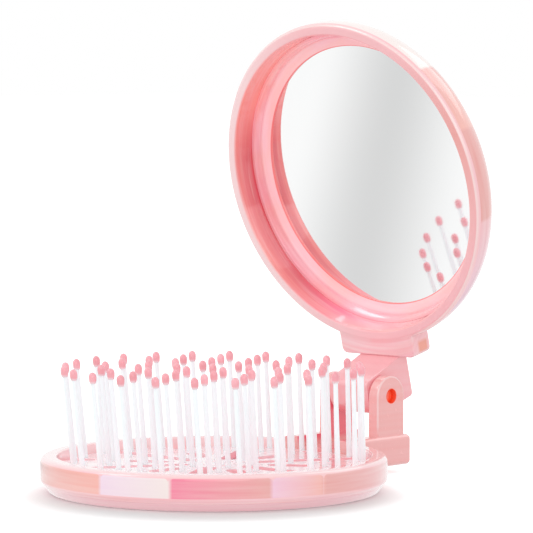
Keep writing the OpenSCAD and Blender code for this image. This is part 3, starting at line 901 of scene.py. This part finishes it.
def plated_steel():
    """Zinc-plated steel with fine turning marks."""
    material, vector, shader = new_material("plated_steel", Metallic=1.0)
    marks = noise(vector, Scale=1500.0)
    set_node(shader, Base_Color=mix(marks, palette().steel, srgb(0.66, 0.67, 0.7)),
             Roughness=marks * 0.25 + 0.2)
    return material


# ---------- Repeated pieces by geometry nodes ----------


def geometry_tree(name, inputs):
    """A geometry tree that takes the named kinds of inputs; returns it and its inputs."""
    tree = bpy.data.node_groups.new(name, "GeometryNodeTree")
    for label, kind in inputs.items():
        tree.interface.new_socket(label, in_out="INPUT", socket_type="NodeSocket" + kind)
    tree.interface.new_socket("Geometry", in_out="OUTPUT", socket_type="NodeSocketGeometry")
    entry = tree.nodes.new("NodeGroupInput")
    return tree, {label: Wire(entry.outputs[label]) for label in inputs}


def end_in_copies(tree, take, points, rotation, **values):
    """Ends a tree in the shape's copies on points, realized and with their material."""
    shape = add_node(tree, "GeometryNodeObjectInfo", "Geometry", Object=take["Shape"])
    copies = add_node(tree, "GeometryNodeInstanceOnPoints", Points=points, Instance=shape,
                      Rotation=rotation, **values)
    real = add_node(tree, "GeometryNodeRealizeInstances", Geometry=copies)
    painted = add_node(tree, "GeometryNodeSetMaterial", Geometry=real, Material=take["Material"])
    set_node(tree.nodes.new("NodeGroupOutput"), Geometry=painted)
    return tree


def ring_tree():
    """Tree: copies of a shape along leaning lines that run from a root ring to a tip ring."""
    lengths = ("Root Radius", "Tip Radius", "Root Y", "Tip Y", "Root Z", "Tip Z", "Along", "Stretch")
    tree, take = geometry_tree("Ring of pins", {
        "Shape": "Object", "Material": "Material", "Count": "Int", "Centre": "Int",
        **dict.fromkeys(lengths, "Float")})
    index = add_node(tree, "GeometryNodeInputIndex")
    outside = index.math("LESS_THAN", take["Count"])
    angle = (index + 0.5) * (2 * math.pi) / take["Count"]
    root, tip = (fed_node(tree, "ShaderNodeCombineXYZ", (
        outside * take[end + " Radius"] * angle.math("COSINE"),
        outside * take[end + " Radius"] * angle.math("SINE") + take[end + " Y"],
        take[end + " Z"])) for end in ("Root", "Tip"))
    line = vector_math("SUBTRACT", tip, root)
    place = vector_math("ADD", root, vector_math("SCALE", line, Scale=take["Along"]))
    longer = vector_math("LENGTH", line, output="Value") / (take["Tip Z"] - take["Root Z"]) - 1
    points = add_node(tree, "GeometryNodePoints", Count=take["Count"] + take["Centre"], Position=place)
    lean = add_node(tree, "FunctionNodeAlignRotationToVector", axis="Z", Vector=line)
    stretch = fed_node(tree, "ShaderNodeCombineXYZ", (1, 1, longer * take["Stretch"] + 1))
    return end_in_copies(tree, take, points, lean, Scale=stretch)


def places_tree():
    """Tree: copies of a shape on the points of its own mesh, all turned alike."""
    tree, take = geometry_tree("Shape at places", {
        "Places": "Geometry", "Shape": "Object", "Material": "Material", "Turn": "Rotation"})
    return end_in_copies(tree, take, take["Places"], take["Turn"])


def grow(name, tree, values, mesh=None):
    """Evaluates a geometry tree on a new object and keeps the result as its plain mesh."""
    piece = new_object(name, mesh or bpy.data.meshes.new(name))
    step = piece.modifiers.new("Grow", "NODES")
    step.node_group = tree
    for item in tree.interface.items_tree:
        if item.name in values:
            step[item.identifier] = values[item.name]
    return settle(piece)


def grow_rings(kind, slot, shape, finish, along, stretch):
    """One piece for each ring of pins or tips; the innermost ring takes the centre one with it."""
    size, tree = setting("pin_sizes"), ring_tree()
    for ring in range(1, PIN_RINGS + 1):
        part = ring / PIN_RINGS
        piece = grow(f"{kind}_row_{ring}", tree, {
            "Shape": shape, "Material": finish, "Along": along, "Stretch": stretch,
            "Count": size.first_ring * ring, "Centre": int(ring == 1),
            "Root Radius": size.root_ring * part, "Tip Radius": (size.root_ring + size.splay) * part,
            "Root Y": size.root_back, "Tip Y": -size.tip_forward, "Root Z": BED_TOP,
            "Tip Z": BED_TOP + size.height})
        complete(piece, "base", slot, finish, f"{kind}_ring_{ring}")
    bpy.data.objects.remove(shape)


# ---------- Base ----------


class BasePiece:
    """What every piece's operator shares"""

    bl_options = {"REGISTER", "UNDO"}

    def execute(self, context):
        self.build()
        return {"FINISHED"}


def seam_radius(size):
    """Radius of the bevel at the seam between the two shells."""
    return BASE_R - size.bevel_in * (size.band_bottom - SEAM_H) / size.band_bottom


class HAIRBRUSH_OT_base_shell(BasePiece, bpy.types.Operator):
    """Build the base's upper shell, with its rim, side band and inner floor"""

    bl_idname = "hairbrush.base_shell"
    bl_label = "Base shell"

    def build(self):
        size = setting("base_sizes")
        skirt_r = BASE_R - size.skirt_width
        inner_r = BASE_R - size.rim_width
        shell = lathe("base_shell", rounded([
            (0, size.floor_under), (skirt_r, size.floor_under), (skirt_r, SEAM_H),
            (seam_radius(size), SEAM_H, size.seam_step), (BASE_R, size.band_bottom, size.band_round),
            (BASE_R, BASE_H, size.rim_edge), (inner_r, BASE_H, size.inner_edge),
            (inner_r, BED_FOOT, size.inner_edge), (0, BED_FOOT)]))
        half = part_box("hinge_bracket")[1].x + size.fit
        carve(shell, block("notch", (-half, 0, BED_FOOT), (half, 2 * BASE_R, 2 * BASE_H)))
        soften(shell, 0.0001, angle=50, segments=2)
        finish = base_pearl_painted_light(inner_r, size.band_bottom + 0.0002)
        complete(smooth(shell), "base", "base_pink", finish, "base_pan")


class HAIRBRUSH_OT_base_cover(BasePiece, bpy.types.Operator):
    """Build the bottom cover with its pale bevel and locating lip"""

    bl_idname = "hairbrush.base_cover"
    bl_label = "Base cover"

    def build(self):
        size = setting("base_sizes")
        lip_r = BASE_R - size.skirt_width - size.fit
        lip_top = size.floor_under - size.fit
        cover = lathe("base_bottom", rounded([
            (0, 0), (BASE_R - size.bevel_in, 0, size.cover_round),
            (seam_radius(size) - size.seam_step, SEAM_H, size.seam_step), (lip_r, SEAM_H), (lip_r, lip_top),
            (lip_r - size.lip_width, lip_top), (lip_r - size.lip_width, size.cover_plate),
            (0, size.cover_plate)]))
        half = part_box("hinge_bracket")[1].x
        carve(cover, block("lip_gap", (-half, 0, SEAM_H), (half, 2 * BASE_R, BASE_H)))
        finish = plain_gloss("pearl_cover", palette().bevel, 0.5, palette().rim, outward=1.0)
        complete(smooth(cover), "base", "cover_pink", finish, "base_cover")


class HAIRBRUSH_OT_pin_bed(BasePiece, bpy.types.Operator):
    """Build the openwork bed that the pins stand in, with rounded edges"""

    bl_idname = "hairbrush.pin_bed"
    bl_label = "Pin bed"

    def build(self):
        shape = welded("pin_bed")
        join_flat(shape)
        bed = soften(from_bmesh("bed_plate", shape), setting("base_sizes").bed_edge, angle=50)
        complete(smooth(bed, angle=40), "base", "bed_white", bed_pearl(), "pin_bed")


# ---------- Pins ----------


class HAIRBRUSH_OT_pins(BasePiece, bpy.types.Operator):
    """Build the rings of white nylon pins, with their feet under the bed"""

    bl_idname = "hairbrush.pins"
    bl_label = "Pins"

    def build(self):
        size = setting("pin_sizes")
        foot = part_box("pins_ring_1")[0].z - BED_TOP
        foot_edge, straight, overlap = 0.0001, 0.0008, 0.0002
        top = size.height - size.tip_low + overlap
        root_r, end_r, foot_r = size.root_d / 2, size.end_d / 2, size.foot_d / 2
        shape = lathe("pin_shape", rounded([
            (0, foot), (foot_r, foot, foot_edge), (foot_r, foot + size.foot_h, foot_edge),
            (root_r, foot + size.foot_h), (root_r, 0), (root_r, straight), (end_r, top), (0, top)],
            steps=2), segments=20)
        grow_rings("pins", "pin_nylon", smooth(shape, angle=40), white_nylon(), along=0.0, stretch=1.0)


class HAIRBRUSH_OT_tips(BasePiece, bpy.types.Operator):
    """Build the pink egg-shaped tips on the pins"""

    bl_idname = "hairbrush.tips"
    bl_label = "Ball tips"

    def build(self):
        size = setting("pin_sizes")
        ball_r, neck_r = size.tip_d / 2, size.tip_neck_d / 2
        turns = [math.radians(a) for a in range(0, 90, 15)]
        outline = [(0, -size.tip_low)]
        outline += [(neck_r + (ball_r - neck_r) * math.sin(a), -size.tip_low * math.cos(a)) for a in turns]
        outline += [(ball_r * math.cos(a), size.tip_up * math.sin(a)) for a in turns]
        shape = lathe("tip_shape", outline + [(0, size.tip_up)], segments=20)
        grow_rings("tips", "tip_pink", smooth(shape, angle=60), pink_resin(size), along=1.0, stretch=0.0)


# ---------- Hinge ----------


class HAIRBRUSH_OT_hinge_bracket(BasePiece, bpy.types.Operator):
    """Build the foot block with its two ears"""

    bl_idname = "hairbrush.hinge_bracket"
    bl_label = "Hinge bracket"

    def build(self):
        size, base = setting("hinge_sizes"), setting("base_sizes")
        low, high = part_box("hinge_bracket")
        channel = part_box("hinge_arm")[1].x + size.side_gap
        ears = channel + size.ear_t
        inner_r = BASE_R - base.rim_width
        corner = size.block_corner
        foot = pebble("hinge_foot", [
            (x * (high.x - corner), y, z, corner) for x in (-1, 1)
            for y in (inner_r - high.x, high.y - corner) for z in (low.z + corner, size.block_top - corner)])
        tombstone = [(HINGE.y - size.ear_r, low.z + 0.001), (HINGE.y + size.ear_r, low.z + 0.001)]
        tombstone += arc((HINGE.y, HINGE.z), size.ear_r, 0, 180, 28)
        sunk = channel - 0.0001
        for start, end in ((-ears, -sunk), (sunk, ears)):
            carve(foot, soften(prism("ear", tombstone, start, end, ACROSS), size.ear_edge), operation="UNION")
        floor = HINGE.z - self.sweep(size) - size.swing_gap
        carve(foot,
              block("channel", (-channel, 0, floor), (channel, 2 * HINGE.y, 2 * HINGE.z)),
              rod("rim_seat", inner_r, -0.001, 2 * BASE_H, segments=288),
              rod("floor_seat", BASE_R + base.fit / 2, -0.001, BED_FOOT, segments=288),
              rod("bore", size.bore_d / 2, -2 * ears, 2 * ears,
                  ACROSS @ Matrix.Translation((HINGE.y, HINGE.z, 0))))
        complete(smooth(foot), "base", "hinge_pink", salmon_hinge(size, ears, channel), "hinge_bracket")

    def sweep(self, size):
        """Reach of the arm's back corner from the hinge axis."""
        return math.hypot(rim_at_hinge().z + size.arm_front + size.arm_t, size.arm_tail - size.tail_edge)


class HAIRBRUSH_OT_hinge_pin(BasePiece, bpy.types.Operator):
    """Build the hinge pin with its rounded ends"""

    bl_idname = "hairbrush.hinge_pin"
    bl_label = "Hinge pin"

    def build(self):
        low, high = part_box("hinge_pin")
        radius, end_round = (high.z - low.z) / 2, 0.0006
        pin = lathe("axle", rounded([
            (0, low.x), (radius, low.x, end_round), (radius, high.x, end_round), (0, high.x)]), 64,
            Matrix.Translation((0, HINGE.y, HINGE.z)) @ Matrix.Rotation(math.pi / 2, 4, "Y"))
        finish = plain_gloss("coral_axle", palette().coral, 0.2, srgb(1, 0.5, 0.33), outward=0.1,
                             roughness=0.3, shine=0.15)
        complete(smooth(pin), "base", "hinge_pin_coral", finish, "hinge_pin")


class HAIRBRUSH_OT_arm(BasePiece, bpy.types.Operator):
    """Build the lid's arm, with its knuckle between the ears and its tongue in the collar"""

    bl_idname = "hairbrush.arm"
    bl_label = "Lid arm"

    def build(self):
        size = setting("hinge_sizes")
        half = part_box("hinge_arm")[1].x
        drop = rim_at_hinge().z
        front, back = drop + size.arm_front, drop + size.arm_front + size.arm_t
        nose = size.nose_r - size.knuckle_r
        back_edge, front_edge, overlap = 0.0003, 0.0006, 0.0005
        outline = rounded(
            arc((nose, nose), size.nose_r, 180, 270, 6) + arc((0, 0), size.knuckle_r, -90, 0, 14)
            + [(size.arm_tail, back, size.tail_edge), (-size.arm_join, back, back_edge),
               (-size.arm_join, front, front_edge)])
        arm = soften(prism("lid_arm", outline, -half, half, ACROSS), size.edge)
        tongue_low = drop + setting("lid_sizes").collar_front + size.tongue_in
        tongue = block("tongue", (-size.tongue_w / 2, -size.arm_join - size.tongue_l, tongue_low),
                       (size.tongue_w / 2, -size.arm_join + overlap, tongue_low + size.tongue_t))
        carve(arm, rod("bore", size.bore_d / 2, -2 * half, 2 * half, ACROSS))
        carve(arm, tongue, operation="UNION")
        arm.data.transform(AT_HINGE)
        finish = plain_gloss("pink_arm", palette().arm, 0.2, palette().rim, roughness=0.24)
        complete(smooth(arm), "lid", "arm_pink", finish, "hinge_arm")


# ---------- Lid ----------


class HAIRBRUSH_OT_lid(BasePiece, bpy.types.Operator):
    """Build the round dished lid with the collar that takes the arm"""

    bl_idname = "hairbrush.lid"
    bl_label = "Lid shell"

    def build(self):
        size, hinge, fit = setting("lid_sizes"), setting("hinge_sizes"), setting("base_sizes").fit
        inner_r = size.radius - size.rim_width
        step_r = inner_r - size.draft
        glass_back = size.glass_depth + size.glass_t
        seat_r, pad_r = size.glass_r + fit, size.pad_r + fit
        back = [(size.radius - size.back_in + size.back_in * math.cos(math.radians(a)),
                 size.back_from + (size.depth - size.back_from) * math.sin(math.radians(a)))
                for a in range(0, 91, 5)]
        lid = lathe("lid", [(0, size.depth)] + back[::-1] + rounded([
            (size.radius, size.back_from), (size.radius, 0, size.rim_edge), (inner_r, 0, size.inner_edge),
            (step_r, size.step_depth), (step_r, size.step_depth + size.step_t),
            (size.glass_r + size.foot_w + fit / 2, size.glass_depth), (seat_r, size.glass_depth),
            (seat_r, glass_back), (pad_r, glass_back), (pad_r, glass_back + size.pad_t),
            (0, glass_back + size.pad_t), (0, size.depth)])[1:-1])
        collar_end = -rim_at_hinge().y - hinge.arm_join
        collar_back = size.collar_front + size.collar_t
        half = size.collar_w / 2
        collar = prism("collar", rounded([
            (-half, inner_r + 0.0003), (half, inner_r + 0.0003), (half, collar_end, size.collar_corner),
            (-half, collar_end, size.collar_corner)]), size.collar_front, collar_back)
        carve(lid, self.fillet(size, half - size.edge), soften(collar, size.edge), operation="UNION")
        slot_half = hinge.tongue_w / 2 + fit
        slot_front = size.collar_front + hinge.tongue_in - fit
        carve(lid, block("tongue_slot", (-slot_half, collar_end - hinge.tongue_l - fit, slot_front),
                         (slot_half, collar_end + 0.001, slot_front + hinge.tongue_t + 2 * fit)))
        screws = setting("screw_sizes")
        for side in (-1, 1):
            at = Matrix.Translation((side * screws.spread, collar_end - screws.from_end, 0))
            carve(lid, rod("screw_hole", screws.shank_d / 2 + fit, slot_front, collar_back, at),
                  rod("head_hole", screws.head_d / 2 + fit, collar_back - screws.sink,
                      collar_back + 0.005, at, 48))
        lid.data.transform(lid_matrix())
        complete(smooth(lid), "lid", "lid_pink", lid_pearl_painted_light(size, inner_r, collar_end), "lid_shell")

    def fillet(self, size, half):
        """Hollow curve that leads from the rim's rounded edge to the front of the collar."""
        steps = 8
        start, reach, low = size.radius - size.rim_edge * 0.75, 0.0028, size.rim_edge * 0.03
        drop = size.collar_front - low
        curve = [(start + reach * i / steps, low + drop * (1 - (1 - i / steps) ** 2))
                 for i in range(steps + 1)]
        under = size.collar_front + 0.001
        fillet = lathe("fillet", curve + [(start + reach, under), (start, under)])
        return carve(fillet, block("collar_width", (-half, 0, -0.01), (half, 2 * size.radius, 0.01)),
                     operation="INTERSECT")


class HAIRBRUSH_OT_mirror_ring(BasePiece, bpy.types.Operator):
    """Build the stepped ring that holds the mirror"""

    bl_idname = "hairbrush.mirror_ring"
    bl_label = "Mirror ring"

    def build(self):
        size = setting("lid_sizes")
        seat_r = size.radius - size.rim_width - size.draft - setting("base_sizes").fit / 2
        lip_edge, ledge_edge, step_edge, step_run = 0.00015, 0.0003, 0.0004, 0.0006
        lip_r = size.glass_r - size.lip_cover
        ledge_r = lip_r + lip_edge + size.ledge_w
        ring = lathe("mirror_ring", rounded([
            (ledge_r + step_run, size.step_depth, step_edge), (seat_r, size.step_depth),
            (seat_r, size.step_depth + size.step_t), (size.glass_r + size.foot_w, size.glass_depth),
            (lip_r, size.glass_depth), (lip_r, size.glass_depth - size.lip_h, lip_edge),
            (ledge_r, size.step_depth + size.ledge_drop, ledge_edge)], steps=4), place=lid_matrix())
        complete(smooth(ring), "lid", "retainer_pink", ring_pearl_painted_light(ledge_r, lip_r), "mirror_retainer")


class HAIRBRUSH_OT_mirror(BasePiece, bpy.types.Operator):
    """Build the mirror glass and dress its adhesive pad"""

    bl_idname = "hairbrush.mirror"
    bl_label = "Mirror"

    def build(self):
        size = setting("lid_sizes")
        back = size.glass_depth + size.glass_t
        glass = lathe("mirror", rounded([
            (0, size.glass_depth), (size.glass_r, size.glass_depth, 0.0002), (size.glass_r, back),
            (0, back)]), place=lid_matrix())
        complete(smooth(glass), "lid", "mirror", silvered_glass(), "mirror_glass")
        pad = frame["nodes"]["mirror_pad"]
        pad.data.materials.clear()
        pad.data.materials.append(adhesive_foam())


# ---------- Screws ----------


class HAIRBRUSH_OT_screws(BasePiece, bpy.types.Operator):
    """Build the cross-slot screws of the bed, the bracket and the lid's collar"""

    bl_idname = "hairbrush.screws"
    bl_label = "Screws"

    def build(self):
        lid, hinge, size = setting("lid_sizes"), setting("hinge_sizes"), setting("screw_sizes")
        floor = setting("base_sizes").floor_under
        self.tree, self.steel = places_tree(), plated_steel()
        for node, name in (("bed_screws", "screws_bed"), ("bracket_screws", "screws_bracket")):
            self.group(name, node, "base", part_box(node)[1].z - floor, self.centres(node, floor),
                       Matrix.Identity(4))
        along = -rim_at_hinge().y - hinge.arm_join - size.from_end
        depth = lid.collar_front + lid.collar_t - size.sink
        long = depth - (lid.collar_front + hinge.tongue_in) - 0.0002
        spots = [lid_matrix() @ Vector((side * size.spread, along, depth)) for side in (-1, 1)]
        turned = lid_matrix().to_3x3().to_4x4() @ Matrix.Rotation(math.pi, 4, "X")
        self.group("screws_arm", "arm_screws", "lid", long, spots, turned)

    def centres(self, node, height):
        """Middles of a CAD group's screws at the height under their heads."""
        shape = welded(node)
        left, found = set(shape.verts), []
        while left:
            edge, island = [left.pop()], []
            while edge:
                vertex = edge.pop()
                island.append(vertex.co.copy())
                near = {e.other_vert(vertex) for e in vertex.link_edges} & left
                left -= near
                edge.extend(near)
            middle = [(min(p[i] for p in island) + max(p[i] for p in island)) / 2 for i in range(2)]
            found.append(Vector((*middle, height)))
        shape.free()
        return sorted(found, key=lambda p: (round(p.x, 4), round(p.y, 4)))

    def group(self, name, node, body, long, spots, turned):
        """One group of like screws, head down at each spot before it is turned."""
        size = setting("screw_sizes")
        head_r, shank_r, pitch = size.head_d / 2, size.shank_d / 2, size.pitch
        outline = [(0, -size.head_t), (head_r * 0.7, -size.head_t), (head_r, -size.head_t * 0.6),
                   (head_r, 0), (shank_r, 0)]
        for i in range(int((long - pitch) / pitch)):
            outline += [(shank_r, (i + 0.5) * pitch), (shank_r * 0.8, (i + 0.9) * pitch)]
        shape = lathe(name + "_shape", outline + [(shank_r * 0.5, long), (0, long)], segments=28)
        half, wide, slot_end = size.head_d / 3, size.slot_w / 2, -size.head_t * 0.45
        for x, y in ((half, wide), (wide, half)):
            carve(shape, block("slot", (-x, -y, -0.002), (x, y, slot_end)))
        smooth(shape, angle=35)
        mesh = bpy.data.meshes.new(name)
        mesh.from_pydata([tuple(p) for p in spots], [], [])
        screws = grow(name, self.tree, {"Shape": shape, "Material": self.steel, "Turn": turned.to_euler()},
                      mesh)
        bpy.data.objects.remove(shape)
        complete(screws, body, "screw_steel", self.steel, node)


# ---------- Stage ----------


class HAIRBRUSH_OT_stage(BasePiece, bpy.types.Operator):
    """Build the white floor, the soft studio light and the camera"""

    bl_idname = "hairbrush.stage"
    bl_label = "Studio"

    # A soft grey band on the floor, seen only in the mirror: its colour, direction, place and half width
    GREY = (0.715, 0.715, 0.715)
    GREY_ACROSS = (0.8415, -0.540, 0.0)
    GREY_AT = -0.0705
    GREY_REACH = 0.033
    # Middle of the shadow that the camera sees, and the distances from it over which it fades out
    SHADE_AT = (0.0095, -0.010, 0.0)
    SHADE_FROM = 0.034
    SHADE_TO = 0.056
    # How much the floor glows for the camera, and how strongly the world lights the object
    FLOOR_GLOW = 0.6
    WORLD_LIGHT = 0.78
    # Each lamp's name, place, width and watts, and the point that they all face
    LAMPS = (("key", (-0.45, -0.55, 0.75), 0.4, 1.4), ("fill", (0.75, -0.72, 0.3), 0.78, 1.9),
             ("back", (0.15, 0.7, 0.7), 0.5, 0.9))
    LAMPS_FACE = (0, 0.02, 0.04)
    # The camera's place, the point that it faces, and its lens and sensor in millimetres
    CAMERA_AT = (0.57385, -0.59022, 0.10616)
    CAMERA_FACES = (0.00915, 0.00903, 0.05479)
    CAMERA_LENS = 228.3
    CAMERA_SENSOR = 36.0

    def build(self):
        self.floor()
        self.world()
        for lamp in self.LAMPS:
            self.lamp(*lamp)
        self.camera()
        bpy.context.scene.view_settings.view_transform = "Standard"

    def floor(self):
        """A floor that is white to the camera where the object doesn't shade it."""
        reach, under = 6.0, 0.00005
        shape = bmesh.new()
        shape.faces.new([shape.verts.new((x * reach, y * reach, -under))
                         for x, y in ((-1, -1), (1, -1), (1, 1), (-1, 1))])
        floor = from_bmesh("floor", shape)
        material, place, shader = new_material("white_floor", Roughness=1.0, Specular_IOR_Level=0.0,
                                               Base_Color=(0.8, 0.8, 0.8), Emission_Color=WHITE)
        tree = place.tree
        camera, glossy, clear = self.rays(tree)
        from_shade = vector_math("DISTANCE", place, self.SHADE_AT, output="Value")
        glow = self.soft_step(from_shade, self.SHADE_FROM, self.SHADE_TO, self.FLOOR_GLOW)
        set_node(shader, Emission_Strength=camera.math("MAXIMUM", clear) * glow)
        from_grey = abs(vector_math("DOT_PRODUCT", place, self.GREY_ACROSS, output="Value") - self.GREY_AT)
        paper = mix(self.soft_step(from_grey, 0, self.GREY_REACH, 1), self.GREY, WHITE)
        card = add_node(tree, "ShaderNodeEmission", Color=paper)
        either = fed_node(tree, "ShaderNodeMixShader", (glossy, Wire(shader.outputs["BSDF"]), card))
        set_node(tree.nodes["Material Output"], Surface=either)
        floor.data.materials.append(material)

    def rays(self, tree):
        """Light Path's masks for camera, glossy and transmission rays."""
        path = tree.nodes.new("ShaderNodeLightPath").outputs
        return [Wire(path[f"Is {kind} Ray"]) for kind in ("Camera", "Glossy", "Transmission")]

    def soft_step(self, value, start, end, top):
        """A mask that rises smoothly from 0 at start to top at end."""
        return add_node(value.tree, "ShaderNodeMapRange", "Result", interpolation_type="SMOOTHSTEP",
                        Value=value, From_Min=start, From_Max=end, To_Max=top)

    def world(self):
        """White surroundings that light the object softly and show white behind it."""
        world = bpy.data.worlds.new("white_room")
        bpy.context.scene.world = world
        world.use_nodes = True
        camera, glossy, clear = self.rays(world.node_tree)
        seen = camera.math("MAXIMUM", glossy.math("MAXIMUM", clear))
        set_node(world.node_tree.nodes["Background"], Color=WHITE,
                 Strength=seen * (1 - self.WORLD_LIGHT) + self.WORLD_LIGHT)

    def stand(self, name, data, place, faces):
        """Adds a lamp or camera at its place, turned to the point that it faces."""
        thing = new_object(name, data)
        thing.location = place
        thing.rotation_euler = (Vector(faces) - thing.location).to_track_quat("-Z", "Y").to_euler()
        return thing

    def lamp(self, name, place, width, watts):
        """A soft square lamp that faces the object."""
        data = bpy.data.lights.new(name, "AREA")
        data.shape = "SQUARE"
        data.size = width
        data.energy = watts
        self.stand(name, data, place, self.LAMPS_FACE)

    def camera(self):
        """A long lens, low and to the front right."""
        data = bpy.data.cameras.new("camera")
        data.lens, data.sensor_width = self.CAMERA_LENS, self.CAMERA_SENSOR
        data.clip_start, data.clip_end = 0.01, 50.0
        bpy.context.scene.camera = self.stand("camera", data, self.CAMERA_AT, self.CAMERA_FACES)


# ---------- Panel and registration ----------

OPERATORS = (HAIRBRUSH_OT_base_shell, HAIRBRUSH_OT_base_cover, HAIRBRUSH_OT_pin_bed, HAIRBRUSH_OT_pins,
             HAIRBRUSH_OT_tips, HAIRBRUSH_OT_hinge_bracket, HAIRBRUSH_OT_hinge_pin, HAIRBRUSH_OT_arm,
             HAIRBRUSH_OT_lid, HAIRBRUSH_OT_mirror_ring, HAIRBRUSH_OT_mirror, HAIRBRUSH_OT_screws,
             HAIRBRUSH_OT_stage)


class HAIRBRUSH_PT_panel(bpy.types.Panel):
    """Buttons for the pieces and the sizes that they are built from"""

    bl_idname = "HAIRBRUSH_PT_panel"
    bl_label = "Folding hairbrush"
    bl_space_type = "VIEW_3D"
    bl_region_type = "UI"
    bl_category = "Hairbrush"

    def draw(self, context):
        for operator in OPERATORS:
            self.layout.operator(operator.bl_idname)
        for name, group in SETTINGS.items():
            box = self.layout.box()
            box.label(text=name.replace("_", " ").capitalize())
            for label in group.__annotations__:
                box.prop(setting(name), label)


CLASSES = (*SETTINGS.values(), *OPERATORS, HAIRBRUSH_PT_panel)


def register():
    for entry in CLASSES:
        bpy.utils.register_class(entry)
    for name, group in SETTINGS.items():
        setattr(bpy.types.Scene, "hairbrush_" + name, PointerProperty(type=group))


def unregister():
    for name in SETTINGS:
        delattr(bpy.types.Scene, "hairbrush_" + name)
    for entry in reversed(CLASSES):
        bpy.utils.unregister_class(entry)


def main():
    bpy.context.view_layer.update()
    register()
    for operator in OPERATORS:
        family, name = operator.bl_idname.split(".")
        getattr(getattr(bpy.ops, family), name)()


if __name__ == "__main__":
    main()
